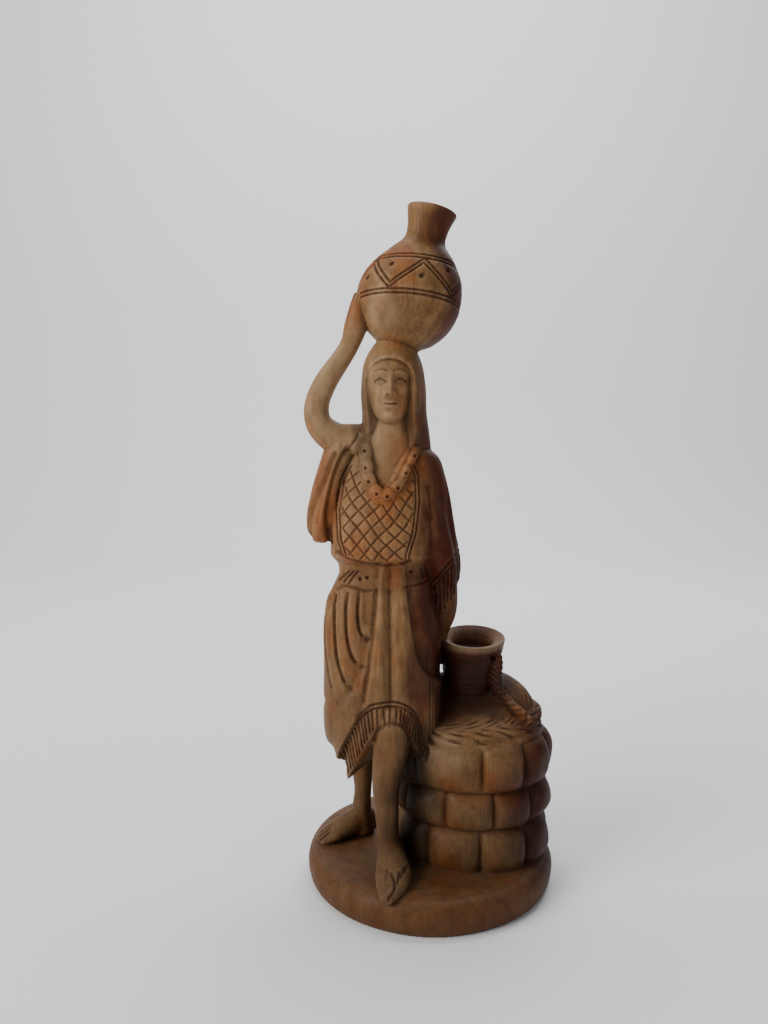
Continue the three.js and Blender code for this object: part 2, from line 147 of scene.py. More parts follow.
def limb(rows, around, levels, across=(1, 0, 0), relief=None, square=2.0):
    """Rings square to a path of rows [x, y, z, half width, half thickness].

    The section is an oval of power square. Width lies along across, which is one direction or
    a function of the rows that gives a direction for each.
    """
    t = np.linspace(0, 1, levels)
    place = through(rows, t)
    ahead = through(rows, np.minimum(t + 0.03, 1))[:, :3]
    behind = through(rows, np.maximum(t - 0.03, 0))[:, :3]
    along = unit(ahead - behind)
    side = across(place) if callable(across) else np.asarray(across, float)
    thick = unit(np.cross(along, side))
    wide = np.cross(thick, along)
    angle = np.linspace(0, TURN, around, endpoint=False)
    swell = 1 + (relief(t[:, None], angle[None, :]) if relief else 0 * t[:, None])
    c, s = np.cos(angle), np.sin(angle)
    swell = swell * (np.abs(c) ** square + np.abs(s) ** square) ** (-1 / square)
    a = place[:, 3:4] * c * swell
    b = place[:, 4:5] * s * swell
    return skin(place[:, None, :3] + a[..., None] * wide[:, None] + b[..., None] * thick[:, None])


def table(rows):
    """Rows at 400 even steps, sorted by height, to ask an upright form for its ring at any z."""
    dense = through(rows, np.linspace(0, 1, 400))
    return dense[np.argsort(dense[:, 0])]


def ring_at(rows, z):
    """Middle x, y and half sizes a, b of an upright form at heights z."""
    dense = table(rows)
    return [np.interp(z, dense[:, 0], dense[:, k]) for k in (1, 2, 3, 4)]


def front_of(rows, square, x, z):
    """y = cy - b (1 - |(x - cx) / a|^n)^(1/n), the front of an upright form."""
    cx, cy, a, b = ring_at(rows, z)
    return cy - b * np.clip(1 - np.abs((x - cx) / a) ** square, 0, 1) ** (1 / square)


# %% [markdown]
# ## Round foot and well
#
# The foot is a slice of the log with its upper edge rounded over. The well is three courses of
# swollen stones. A stone is where two waves meet: one goes up through a course and one goes
# round it, and the joint is cut where either is near its edge. The mound on top rises towards
# the back and carries the bucket.

# %%
FOOT = [(0, 52.5), (2, 54.6), (7, 55.5), (11, 54.6), (13.7, 51.9), (14.5, 47.5)]
WELL = dict(x=19, y=-2.5, wide=31.5, deep=27.5, bulge=3.8, joint=1.4, top=68.5, rise=17, back=6)
COURSES = [
    dict(low=12, high=32, out=0.1, joints=(-170, -131, -88, -48, -8, 35, 78, 118, 154)),
    dict(low=32, high=48.5, out=0.4, joints=(-155, -115, -78, -44, -2, 40, 84, 126, 166)),
    dict(low=48.5, high=68.5, out=1.3, joints=(-143, -87, -53, -20, 30, 88, 140, 178)),
]


def foot():
    """The foot's rings, with a slow unevenness of a third of a millimetre round the side."""
    uneven = lambda x, z, angle: 0.22 * np.sin(3 * angle + 1) + 0.13 * np.sin(7 * angle + z * 0.2)
    return upright([[z, 0, 0, r, r] for z, r in FOOT], 360, 24, relief=uneven)


def stone(course, angle, up):
    """out + bulge s - joint (1 - s)^6, s = (1 - |2 up - 1|^2.4)(1 - |2 side - 1|^3.4)."""
    joints = np.radians(course["joints"])
    ends = np.concatenate([joints, joints[:1] + TURN])
    at = np.mod(angle - ends[0], TURN) + ends[0]
    index = np.searchsorted(ends, at, side="right") - 1
    side = (at - ends[index]) / (ends[index + 1] - ends[index])
    swell = (1 - np.abs(2 * up - 1) ** 2.4) * (1 - np.abs(2 * side - 1) ** 3.4)
    own = 0.4 * np.sin(index * 4.7 + course["low"])
    hewn = 0.3 * np.sin(side * 7 + index * 2) * np.sin(up * 6 + index)
    face = course["out"] + (WELL["bulge"] + own) * swell + hewn * swell
    return face - WELL["joint"] * (1 - swell) ** 6


def mound(share, angle):
    """z = top + rise (1 - share^p) + back bell; p grows from 1.6 in front to 4.5 behind."""
    s, c = np.sin(angle), np.cos(angle)
    power = 1.6 + 2.9 * step(-0.8, 0.3, s + 0.25 * c)
    bell = step(-0.2, 0.4, share * s + 0.15) * (1 - share**5)
    return WELL["top"] + WELL["rise"] * (1 - share**power) + WELL["back"] * bell


def well():
    """Rings at radius (wide, deep) share + out, one wall ring per half millimetre, then the mound."""
    angle = np.linspace(0, TURN, 420, endpoint=False)
    rings = []

    def ring(a, b, z):
        x, y = WELL["x"] + a * np.cos(angle), WELL["y"] + b * np.sin(angle)
        rings.append(np.stack([x, y, z + 0 * angle], -1))

    for course in COURSES:
        span = course["high"] - course["low"]
        for up in np.linspace(0.01, 0.99, int(span * 1.8)):
            out = stone(course, angle, up)
            ring(WELL["wide"] + out, WELL["deep"] + out, course["low"] + up * span)
    for share in np.linspace(0.985, 0.03, 60):
        rock = 0.5 * np.sin(3 * angle + 9 * share) + 0.35 * np.sin(5 * angle - 14 * share)
        z = mound(share, angle) + rock * share
        ring(WELL["wide"] * share + 0.8, WELL["deep"] * share + 0.8, z)
    return skin(np.array(rings))


FORMS = {"foot": foot(), "well": well()}


def tell(*names):
    """Prints how many triangles the named forms have."""
    print(*names, sum(len(FORMS[name][1]) for name in names), "triangles")


tell("foot")
tell("well")

# %% [markdown]
# ## Bucket and rope
#
# The bucket is turned on its own axis: the profile goes up the outside, over a broad lip and down
# into the hollow. Its rope hangs from a hole under the rim and lies round the mound's edge as a
# flat band. The strands are cut later, because the carver too marks them on a plain band.

# %%
BUCKET = dict(x=19.4, y=0, lean=2.6, dip=2.2, foot=76, lip=108.5, narrow=8.8, wide=14.3)
BUCKET_RINGS = (84.5, 87.4, 89.2, 92.5, 95.4, 97.0, 99.4)
DISH = [(0.2, -0.3), (1.2, -0.2), (3.2, 0.5), (4.6, 1.6), (5.6, 3.75), (6.2, 6), (7.4, 7.125), (13.8, 7.5)]


def bucket():
    """Rings (x + r cos, y + r sin, z): the outside with fine cut rings, then DISH inwards and down.

    The foot is shifted sideways by lean and the lip tipped forwards by dip.
    """
    k = BUCKET
    t = np.linspace(0, 1, 110)
    z = k["foot"] + (k["lip"] - k["foot"]) * t
    rings = sum(0.35 * hump(z, at, 0.4) for at in BUCKET_RINGS)
    rim = 0.35 * step(101.6, 102.6, z)
    outside = np.stack([k["narrow"] + (k["wide"] - k["narrow"]) * t**0.7 + rim - rings, z], -1)
    profile = np.vstack([outside, [(k["wide"] - inwards, k["lip"] - down) for inwards, down in DISH]])
    angle = np.linspace(0, TURN, 200, endpoint=False)
    r, z = profile[:, :1], profile[:, 1:]
    share = np.clip((z - z.min()) / (z.max() - z.min()), 0, 1)
    middle = k["x"] - k["lean"] * (1 - share)
    drop = k["dip"] * share**4 * np.sin(angle) * r / r.max()
    return skin(np.stack([middle + r * np.cos(angle), k["y"] + r * np.sin(angle), z + drop], -1))


def rope_share(angle):
    """How far out on the mound the rope lies, as a share of the well's radius."""
    return 0.86 + 0.04 * np.sin(2 * angle + 0.7)


def rope_ring():
    """Flat band round the mound's edge."""
    count = 400
    angle = np.linspace(0, TURN, count)
    share = rope_share(angle)
    x = WELL["x"] + WELL["wide"] * share * np.cos(angle)
    y = WELL["y"] + WELL["deep"] * share * np.sin(angle)
    z = mound(share, angle) + 0.1
    rows = np.stack([x, y, z, np.full(count, 4.4), np.full(count, 1.5)], -1)
    outward = lambda place: place[:, :3] - [WELL["x"], WELL["y"], WELL["top"] + 24]
    return limb(rows, 60, 700, outward)


ROPE_FALL = [
    [29.4, -8.6, 104.0, 1.8, 1.8], [29.4, -9.4, 99.0, 2.8, 2.2], [28.8, -9.8, 93.0, 3.0, 2.2],
    [29.6, -10.4, 87.0, 3.2, 2.0], [33.6, -12.4, 82.0, 3.6, 1.7], [38.6, -14.5, 77.4, 4.2, 1.5],
    [42.0, -16.5, 73.5, 4.2, 1.2],
]


def rope_fall():
    """Rope from the hole under the bucket's rim, down its side and out over the mound."""
    return limb(ROPE_FALL, 50, 220, (0.7, -0.7, 0.3))


FORMS.update(bucket=bucket(), rope_ring=rope_ring(), rope_fall=rope_fall())
tell("bucket", "rope_ring", "rope_fall")

# %% [markdown]
# ## Skirt
#
# The cloth is one upright form. Its sash, swags and pleats are added to the radius: the sash is a
# band between two curves, and the swags are level lines of an oval distance from the hip, so that
# each fold falls from the belt and turns round to the sash, as hung cloth does.

# %%
SKIRT = [
    [55, -22, -7, 24, 17.5], [62, -22.2, -7.5, 25, 20.5], [72, -22.2, -8, 25.3, 22],
    [85, -21.9, -8, 25.5, 21.6], [100, -21.6, -8, 25.6, 20.5], [113, -21.6, -8, 25.9, 19.2],
    [124, -21.8, -8, 25.1, 17.9], [131, -21.2, -8, 22.8, 16.6], [139, -20.4, -8, 20, 15],
]
OVAL = 2.3
SASH_TOP, SASH_RISE = 145, 1.5
HIP_X, HIP_Z, DROP = -26, 127, 2.33


def sash_edges(z):
    """x of the sash's left and right edges at height z, both widening towards the hem."""
    down = SASH_TOP - z
    flare = 0.034 * np.maximum(0, down - 38) ** 2
    return -22.4 - 0.055 * down - 0.0009 * down**2, -12.2 + 0.04 * down + 0.0024 * down**2 + flare


def sash(x, z):
    """A raised band with two soft ridges and the valley between them."""
    left, right = sash_edges(z)
    down = SASH_TOP - z
    band = step(left - 1.1, left + 1.1, x) * step(right + 1.1, right - 1.1, x)
    ridges = hump(x, -21.6 - 0.02 * down, 2.1) + hump(x, -14.8 + 0.05 * down, 2.5)
    valley = hump(x, -18.2 + 0.012 * down, 1.1)
    return band * (SASH_RISE + 0.9 * ridges - 0.7 * valley)


HEM_LINE = [(-46, 48), (-43.5, 53), (-41.3, 58.5), (-37.1, 68.6), (-31.5, 79.4), (-28.1, 83.6)]
HEM_LINE += [(-24.4, 85.8), (-19, 86.5), (-13, 85.8), (-8.5, 82.4), (-5.5, 77), (-3, 68), (-1, 60)]


def hem_line(x):
    """Height of the line along the hem: up over the knee and down again at the well."""
    line = through(HEM_LINE, np.linspace(0, 1, 120))
    return np.interp(x, line[:, 0], line[:, 1])


def swag_reach(x, z):
    """q^3 = (x - hip)^3 + (fall / DROP)^3, whose level lines are square-cornered hanging folds."""
    across = np.maximum(0, HIP_X - x)
    down = np.maximum(0, HIP_Z - z) / DROP
    return (across**3 + down**3) ** (1 / 3)


def swags(x, z):
    """Rolled folds between q = 5.7, 10.8, 15.9 and 21, then a long fold up to the sash."""
    left, _ = sash_edges(z)
    q = swag_reach(x, z)
    fold = np.abs(np.sin(pi * (q - 5.7) / 5.1)) ** 0.7 - 0.5
    within = step(left + 0.2, left - 2.0, x) * step(2.6, 4.2, q) * step(21.8, 20.4, q)
    return 1.5 * fold * within * step(136, 128, z) * step(hem_line(x) + 1, hem_line(x) + 6, z)


def skirt_relief(x, z, angle):
    """Sash and swags in front, plain pleats behind, all dying away under the belt."""
    front = step(0.15, -0.25, np.sin(angle))
    pleats = (0.75 * np.sin(9 * angle + 0.02 * z) + 0.3 * np.sin(17 * angle)) * step(136, 120, z)
    _, right = sash_edges(z)
    panel = -1.0 * step(right - 0.6, right + 1.6, x) * front * step(76, 90, z) * step(137, 130, z)
    corner = 4.2 * step(-33, -43, x)
    fringe = (0.35 + corner) * step(hem_line(x) + 0.8, hem_line(x) - 0.8, z) * front
    return front * (sash(x, z) + swags(x, z)) + (1 - front) * pleats + panel - fringe


def hem(x, s, t):
    """Lift of the lowest rings: an arch over the knee, a raised left corner and a tail behind."""
    front = step(0.1, -0.6, s)
    arch = 19 * hump(x, -18, 10.5) + 9 * step(-8, 2, x)
    corner = 9.5 * step(-39, -42.5, x)
    tail = 9 * step(-0.8, -0.2, s) * step(-16, -29, x) * step(-43.5, -39, x)
    return (1 - t) ** 2.2 * (front * arch + corner - tail - 4 * hump(x, -37.5, 3.5) * front)


def border():
    """A raised cord along the hem line, lying on the skirt's front."""
    x = np.linspace(-39.8, -2.2, 60)
    z = hem_line(x) + 0.9
    y = front_of(SKIRT, OVAL, x, z) - sash(x, z) + 0.35
    return limb(np.stack([x, y, z, 0 * x + 1.0, 0 * x + 0.9], -1), 20, 260, (0, 0, 1))


FORMS["skirt"] = upright(SKIRT, 460, 260, OVAL, skirt_relief, hem)
FORMS["border"] = border()
tell("skirt", "border")

# %% [markdown]
# ## Bodice, mantle and sleeve
#
# The bodice swells over the belt and ends in a short overhang. OPENING has the left and right
# edges of the neckline and of the hood above it by height, and the radius is held back between
# them. On one shoulder the mantle hangs down to a point, and on the other a loose sleeve hangs.
# Their folds are waves round the form that fade out towards the shoulder.

# %%
TORSO = [
    [136, -20.4, -8, 19.8, 14.6], [143, -20.4, -8, 20.2, 15], [146, -20.8, -8.4, 21.5, 17],
    [150, -21.3, -9, 22.6, 18.8], [158, -21.5, -9.2, 22.8, 19.3], [168, -21, -8.2, 21.8, 17],
    [178, -20, -6.6, 20.8, 14.2], [187, -18.8, -5, 18.6, 11.8], [195, -17.6, -4.2, 14.5, 9.8],
    [201, -17, -4, 9.5, 8],
]
MANTLE = [
    [196, -9, -3.6, 3, 4.5], [190, -5.8, -4, 8.8, 9.4], [180, -4.0, -4.6, 10.4, 11.6],
    [165, -1.8, -5.4, 10.4, 13], [150, 0.3, -6, 11.6, 14], [142, 1.6, -5.8, 11.4, 13],
    [136, 3, -5.2, 9, 10],
]
SLEEVE = [
    [204, -36, -3.6, 4, 4.6], [196, -38.6, -4.4, 7, 8.4], [186, -41.6, -5, 7.4, 9.6],
    [175, -44.2, -5.6, 8, 10.6], [164, -45.8, -6, 8.6, 11], [157, -45.8, -6, 8.2, 10],
    [152.6, -44.8, -6, 5.4, 7.2],
]
SHOULDER = [
    [-18, -4.5, 194, 8, 7], [-27, -5, 195.5, 8, 7.6], [-34, -5, 196, 8, 8], [-39, -5, 195, 6, 7],
]
OPENING = [(176.4, -21.9, -21.4), (178.5, -24.2, -18.8), (184, -25.4, -15.6), (190, -26.2, -12.2)]
OPENING += [(196, -26.9, -8.6), (200, -27.1, -7.6), (204, -26.8, -8.0), (209, -27.3, -8.4)]
OPENING += [(216, -27.9, -8.4), (222, -27.9, -8.4), (226, -27.0, -9.2), (228.5, -25.0, -11.2)]
OPENING += [(230.2, -21.6, -14.8), (230.8, -18.3, -18.0)]
COLLAR = [(-28.6, 195), (-28.2, 186.5), (-26.4, 179), (-21.4, 173.6), (-15.4, 176.6)]
COLLAR += [(-11.0, 184.5), (-6.6, 193)]
COLLAR_REACH = 3.2
LOBES = 8


def opening(x, z):
    """1 between the left and right edges of the hood's opening and the neckline below it."""
    at, left, right = np.array(OPENING).T
    a, b = np.interp(z, at, left, 0, 0), np.interp(z, at, right, -40, -40)
    return step(a - 0.5, a + 0.5, x) * step(b + 0.5, b - 0.5, x)


def torso_relief(x, z, angle):
    """Sash below the bodice, folds on the back, and the neckline let in by 1.3 to 2.8 mm."""
    s = np.sin(angle)
    front = step(0.15, -0.25, s)
    back = step(0.0, 0.6, s)
    folds = 0.8 * np.sin(0.75 * x + 0.05 * z) + 0.35 * np.sin(1.6 * x - 0.03 * z)
    cloth = back * folds * step(140, 152, z) * step(196, 184, z)
    lip = 0.7 * hump(z, 147.2, 1.6)
    held = 1.3 + 1.5 * step(178, 192, z)
    return front * (sash(x, z) * step(146.2, 145, z) - held * opening(x, z)) + cloth + lip


def mantle_relief(x, z, angle):
    """Soft hanging folds, deepest at the hem."""
    fade = step(192, 165, z)
    return fade * (0.8 * np.sin(5 * angle + 0.09 * z) + 0.3 * np.sin(11 * angle - 0.05 * z))


def mantle_hem(x, s, t):
    """The front edge rises towards the body and falls to a point at the outside."""
    return t**3 * (6 * step(0, -1, s) * step(6, -8, x) - 3 * step(4, 12, x))


def sleeve_relief(x, z, angle):
    """Folds behind, and in front one broad roll that swings outwards on its way down."""
    s = np.sin(angle)
    fade = step(203, 176, z)
    waves = 0.9 * np.sin(6 * angle + 0.6) * step(-0.3, 0.3, s)
    roll = 1.2 * hump(x, -40.2 - 0.31 * (188 - z), 3.2) * step(0, -0.5, s)
    return fade * (waves + roll)


def collar():
    """Band along the neckline, wider and thicker in each lobe by |sin|^0.6."""
    x, z = through(COLLAR, np.linspace(0, 1, 60)).T
    y = front_of(TORSO, OVAL, x, z) - 0.1
    rows = np.stack([x, y, z, np.full(60, 2.8), np.full(60, 1.9)], -1)
    lobes = lambda t, turn: 0.26 * (np.abs(np.sin(LOBES * pi * t)) ** 0.6 - 0.7)
    return limb(rows, 40, 400, (0.5, 0.3, 1), lobes)


def from_collar(x, z):
    """Distance from the collar's middle line in the front view."""
    line = through(COLLAR, np.linspace(0, 1, 40))
    return np.sqrt(np.min([(x - u) ** 2 + (z - v) ** 2 for u, v in line], axis=0))


FORMS["torso"] = upright(TORSO, 420, 200, OVAL, torso_relief)
FORMS["mantle"] = upright(MANTLE, 240, 180, 2.0, mantle_relief, mantle_hem)
FORMS["sleeve"] = upright(SLEEVE, 240, 160, 2.0, sleeve_relief)
FORMS["shoulder"] = limb(SHOULDER, 70, 60)
FORMS["collar"] = collar()
tell("torso", "mantle", "sleeve", "shoulder", "collar")

# %% [markdown]
# ## Arms, legs and feet
#
# Each is a limb: rings set square to a path, wide or flat as the rows say. Fingers and toes are
# cut in later, because the carver leaves each hand and foot as one mitten too.

# %%
RAISED_ARM = [
    [-31, -4, 195, 8, 8], [-41.4, -5, 197.5, 7, 7.4], [-48.8, -6, 204, 5.8, 6.4],
    [-49.6, -6, 213, 5.3, 5.6], [-45.2, -6, 223, 4.9, 5.2], [-39, -6, 232, 4.3, 4.6],
    [-35.2, -6, 238.5, 4.2, 4.8], [-32.9, -6.5, 245.5, 4.9, 6.4], [-31.6, -7, 253, 4, 6],
    [-30.8, -7, 259, 2.8, 4.8],
]
LOWERED_ARM = [
    [2, -6, 143, 7.6, 8], [5, -5.6, 132, 6.8, 7.4], [6.2, -4.6, 122, 5.4, 6],
    [4.6, -2.4, 113.5, 4.2, 4.8], [4.2, 0.2, 107, 3.4, 4.2], [5.2, 1.2, 96.4, 2.5, 3],
]
SHIN = [
    [-17.2, -20, 87, 4.2, 5.4], [-17.2, -26.2, 80.5, 6.0, 7.4], [-17.2, -27.2, 72, 7.4, 7.5],
    [-18.6, -27, 60, 7.1, 7.3], [-19.8, -27, 50, 5.8, 6.4], [-19.4, -27, 38, 5, 5.4],
    [-18.8, -26, 28, 4.7, 5.4], [-18.4, -24, 17, 5, 6],
]
FRONT_FOOT = [
    [-18, -17, 18.5, 4, 4.5], [-18, -23, 21.5, 5.4, 7.5], [-17.4, -32, 20.3, 6.4, 6.2],
    [-16.9, -38.5, 18.2, 7.4, 4.4], [-17.9, -45.5, 16.5, 6.2, 3.2], [-20.2, -53, 14.8, 2.6, 1.7],
]
REAR_LEG = [
    [-31, 1, 64, 7, 7], [-30.6, 2, 50, 5.4, 5.8], [-30.4, 3, 37, 4, 4.6], [-31, 4.5, 27, 4.4, 5.2],
    [-31, 5, 16, 5, 6],
]
REAR_FOOT = [
    [-26, 8, 17.5, 4.2, 4.2], [-31, 5, 20.5, 5.2, 7], [-38, 1.4, 19.6, 6, 5],
    [-44.6, -2, 17.4, 6.4, 3.2], [-50.4, -5, 15.2, 4, 1.6],
]
FORMS["raised arm"] = limb(RAISED_ARM, 90, 260, (1, 0, 0.2), square=2.4)
FORMS["lowered arm"] = limb(LOWERED_ARM, 80, 120, square=2.3)
FORMS["shin"] = limb(SHIN, 90, 170, square=2.2)
FORMS["front foot"] = limb(FRONT_FOOT, 90, 120)
FORMS["rear leg"] = limb(REAR_LEG, 80, 120)
FORMS["rear foot"] = limb(REAR_FOOT, 80, 90, (0.45, -0.9, 0))

# %% [markdown]
# ## Head
#
# The veil is an upright form with an opening held back behind its edge, so the hood keeps a real
# thickness. The face is calm and general, on even proportions: eyes half way up the head, the nose
# ending half way between brows and chin, the mouth a third of the way below it. Every feature is a
# soft hump or hollow added to a plain oval.

# %%
VEIL = [
    [183, -13.8, -1, 13, 7], [190, -14.8, -2.6, 15, 9.6], [200, -15.6, -4.6, 14.8, 12.6],
    [209, -16.1, -6, 14, 14.6], [219, -16.5, -6.6, 14, 15.2], [228, -16.8, -6.4, 13, 14.2],
    [234, -16.8, -6.2, 10.8, 11.9], [239.5, -16.2, -6, 7.6, 8.2],
]
FACE = [
    [204.2, -17.9, -10.6, 2.8, 5], [206, -17.9, -10.4, 5.3, 8.4], [209.2, -18, -10.3, 7.5, 9.8],
    [214, -18, -10.2, 9.2, 10.2], [219.6, -18, -10, 10.3, 10.5], [226, -18, -9.8, 10.2, 10.3],
    [231, -17.9, -9, 8.6, 9], [235, -17.8, -8.6, 6.4, 7],
]
NECK = [
    [-17.6, -7, 209, 7.2, 6.8], [-17.6, -7, 202, 7.9, 7], [-18.0, -7, 194, 11.4, 7.4],
    [-19.2, -7, 184, 9.6, 8.2], [-20.4, -6.4, 176, 6.4, 7.6],
]
FACE_X = -18.0
CHIN, CROWN = 204.4, 238.0
EYE_Z = (CHIN + CROWN) / 2
BROW_Z = EYE_Z + 4
NOSE_Z = (BROW_Z + CHIN) / 2 + 0.8
MOUTH_Z = NOSE_Z - (NOSE_Z - CHIN) / 3
EYE_X = 4.2


def veil_relief(x, z, angle):
    """Opening held back 3 to 8 mm, a rolled edge beside it and folds behind."""
    s = np.sin(angle)
    front = step(0.1, -0.3, s)
    deep = 3 + 5 * step(198, 206, z)
    oval = np.sqrt(((x - FACE_X) / 11.6) ** 2 + ((z - 215) / 17) ** 2)
    edge = 0.6 * hump(oval, 1, 0.1) * step(203, 210, z)
    behind = step(-0.1, 0.5, s) * (0.6 * np.sin(0.8 * x) + 0.3 * np.sin(1.9 * x + 0.1 * z))
    return front * (edge - deep * opening(x, z)) + behind * step(232, 212, z)


def face_relief(x, z, angle):
    """Sum of brow, sockets, lids, nose, cheeks, lips and chin as humps of off-centre and height."""
    front = step(0.1, -0.6, np.sin(angle))
    u = x - FACE_X
    off = np.abs(u)
    down = np.clip((BROW_Z - z) / (BROW_Z - NOSE_Z), 0, 1)
    ridge = (0.6 + 2.1 * down**1.3) * hump(u, 0, 1.1 + 0.6 * down)
    nose = ridge * step(BROW_Z + 2, BROW_Z - 1, z) * step(NOSE_Z - 1.2, NOSE_Z + 0.6, z)
    tip = 0.5 * hump(u, 0, 1.3) * hump(z, NOSE_Z + 1.1, 1.2)
    wings = 0.8 * hump(off, 1.75, 0.75) * hump(z, NOSE_Z + 0.6, 0.95)
    brow = 0.6 * hump(z, BROW_Z + 0.3 - 0.03 * (off - 4) ** 2, 1.1) * hump(off, 4.2, 3.4)
    socket = -1.3 * hump(off, EYE_X, 2.9) * hump(z, EYE_Z + 0.5, 2.1)
    almond = np.clip(1 - ((off - EYE_X) / 2.7) ** 2 - ((z - EYE_Z) / 1.5) ** 2, 0, 1)
    cheeks = 0.7 * hump(off, 5.4, 2.6) * hump(z, NOSE_Z + 1.8, 3.2)
    beside = -0.35 * hump(off, 3.9, 0.9) * hump(z, MOUTH_Z + 0.6, 2.2)
    upper = 1.05 * hump(u, 0, 2.4) * hump(z, MOUTH_Z + 0.75, 0.6)
    lower = 1.35 * hump(u, 0, 2.0) * hump(z, MOUTH_Z - 0.95, 0.75)
    dent = -0.7 * hump(u, 0, 2.4) * hump(z, MOUTH_Z - 2.7, 0.9)
    chin = 1.0 * hump(u, 0, 2.4) * hump(z, CHIN + 2.6, 1.9)
    above = nose + tip + wings + brow + socket + almond**0.5 + cheeks
    return front * (above + beside + upper + lower + dent + chin)


FORMS["veil"] = upright(VEIL, 420, 260, 2.0, veil_relief)
FORMS["face"] = upright(FACE, 620, 300, 2.2, face_relief)
FORMS["neck"] = limb(NECK, 90, 80, square=2.5)

# %% [markdown]
# ## Jar
#
# The jar leans towards the well, so its profile is swept along a slightly bent path instead of
# being turned on one axis. The lip rolls over into a shallow mouth.

# %%
JAR_Y = -5
JAR = [(-15.8, 231, 8), (-14.8, 236.8, 9), (-13.8, 240.8, 14.6), (-12.3, 247, 19.6)]
JAR += [(-10.7, 254.4, 22.3), (-8.7, 261.8, 22), (-6.4, 268.6, 19.4), (-4.2, 275.4, 14.2)]
JAR += [(-3.2, 281.2, 9.2), (-1.9, 287.1, 8.9), (-0.1, 294.3, 10.9)]
JAR_AXIS = unit(np.array([15.0, 0, 63.3]))
JAR_SIDE = np.array([JAR_AXIS[2], 0, -JAR_AXIS[0]])
MOUTH = [(10.2, 0.35), (9.0, 0.2), (8.2, -1), (7.2, -4), (6.6, -7), (5.4, -10.5), (3.5, -12), (0.4, -12.2)]


def jar():
    """Rings of rows (x, z, radius) square to the axis, then the mouth's (radius, height past the lip)."""
    x, z, r = through(JAR, np.linspace(0, 1, 260)).T
    angle = np.linspace(0, TURN, 320, endpoint=False)
    turn = np.cos(angle)[:, None] * JAR_SIDE + np.sin(angle)[:, None] * np.array([0, 1.0, 0])
    middle = np.stack([x, 0 * x + JAR_Y, z], -1)
    outside = middle[:, None] + r[:, None, None] * turn
    inside = np.array([middle[-1] + JAR_AXIS * high + wide * turn for wide, high in MOUTH])
    return skin(np.concatenate([outside, inside]))


FORMS["jar"] = jar()
print("forms", len(FORMS), "triangles", sum(len(f) for _, f in FORMS.values()))

# %% [markdown]
# ## One piece of wood
#
# All the skins go into one mesh, and a voxel remesh keeps only what can be seen from outside, so
# where two forms meet there is one surface and no seam. A few rounds of smoothing soften the
# meeting lines, as sanding does.

# %%
def mesh_of(name, points, faces, scale=MM):
    """A mesh from points in millimetres and triangles or quads."""
    mesh = bpy.data.meshes.new(name)
    mesh.from_pydata((np.asarray(points) * scale).tolist(), [], np.asarray(faces).tolist())
    return mesh


def evaluated(obj, name):
    """The object's mesh with its modifiers applied, as a new mesh of that name."""
    bpy.context.view_layer.update()
    graph = bpy.context.evaluated_depsgraph_get()
    result = obj.evaluated_get(graph)
    mesh = bpy.data.meshes.new_from_object(result, preserve_all_data_layers=True, depsgraph=graph)
    mesh.name = name
    return mesh


def read(items, key, width, kind=np.float32):
    """One property of all vertices or edges, as rows of the given width."""
    flat = np.empty(len(items) * width, kind)
    items.foreach_get(key, flat)
    return flat.reshape(-1, width)


def set_points(mesh, points):
    """Writes places in millimetres back to the mesh."""
    mesh.vertices.foreach_set("co", (points * MM).astype(np.float32).ravel())
    mesh.update()


def merged():
    """Every form in one object, remeshed at VOXEL, one unit to a millimetre until set_points."""
    start, all_points, all_faces = 0, [], []
    for points, faces in FORMS.values():
        all_points.append(points)
        all_faces.append(faces + start)
        start += len(points)
    mesh = mesh_of("rough", np.vstack(all_points), np.vstack(all_faces), 1)
    rough = bpy.data.objects.new("rough", mesh)
    bpy.context.scene.collection.objects.link(rough)
    remesh = rough.modifiers.new("join", "REMESH")
    remesh.mode = "VOXEL"
    remesh.voxel_size = VOXEL
    mesh = evaluated(rough, "statue")
    bpy.data.objects.remove(rough)
    return mesh


def averaged(values, edges, count):
    """Mean over each vertex's neighbours."""
    total = np.zeros_like(values)
    for k in range(values.shape[1]):
        total[:, k] = np.bincount(edges[:, 0], values[edges[:, 1], k], count)
        total[:, k] += np.bincount(edges[:, 1], values[edges[:, 0], k], count)
    share = np.bincount(edges.ravel(), minlength=count)
    return total / np.maximum(share, 1)[:, None]


carving = merged()
points = read(carving.vertices, "co", 3).astype(float)
edges = read(carving.edges, "vertices", 2, np.int32)
for _ in range(5):
    for share in (0.5, -0.3):
        points += share * (averaged(points, edges, len(points)) - points)
points[:, 2] = np.where(points[:, 2] < UNDERSIDE, 0, points[:, 2])
set_points(carving, points)
print("merged", len(points), "points")

# %% [markdown]
# ## Knife cuts
#
# Patterns are cut into the joined surface. A stroke is a curve in one view, mostly the front one,
# and every point near it moves in along its normal by deep * exp(-(distance / wide)^2). Only
# points that lie on the named form and look forwards are moved, so nothing behind is touched.
# The same numbers are kept as the stain that the carver rubs into the cuts.

# %%
FRONT, SIDE, TOP = [0, 2], [1, 2], [0, 1]
LATTICE = 4.9
BANDS = (254.2, 255.8, 270.2, 271.8)
VALLEYS, VALLEY_Z = (-145, -88, -24, 50, 114, 168), 257.4
PEAKS, PEAK_Z = (-115, -60, 6, 84, 142, 192), 268.8
ROPE_TURN = 8.0


def curve(*rows, count=24):
    """A smooth line through the given places."""
    return through(rows, np.linspace(0, 1, count))


def fan(start, end, count, bow=0.3):
    """Strokes from one curve to another, each a little uneven at both ends."""
    t = (np.arange(count) + 0.5) / count
    shake = bow * np.sin(np.arange(count) * 2.4)
    tops = through(start, np.clip(t + 0.004 * shake, 0, 1))
    ends = through(end, np.clip(t + 0.01 * shake, 0, 1)) + np.stack([0 * t, shake], -1)
    return [np.stack([a, (a + b) / 2 + [0.15 * bow, 0], b]) for a, b in zip(tops, ends)]


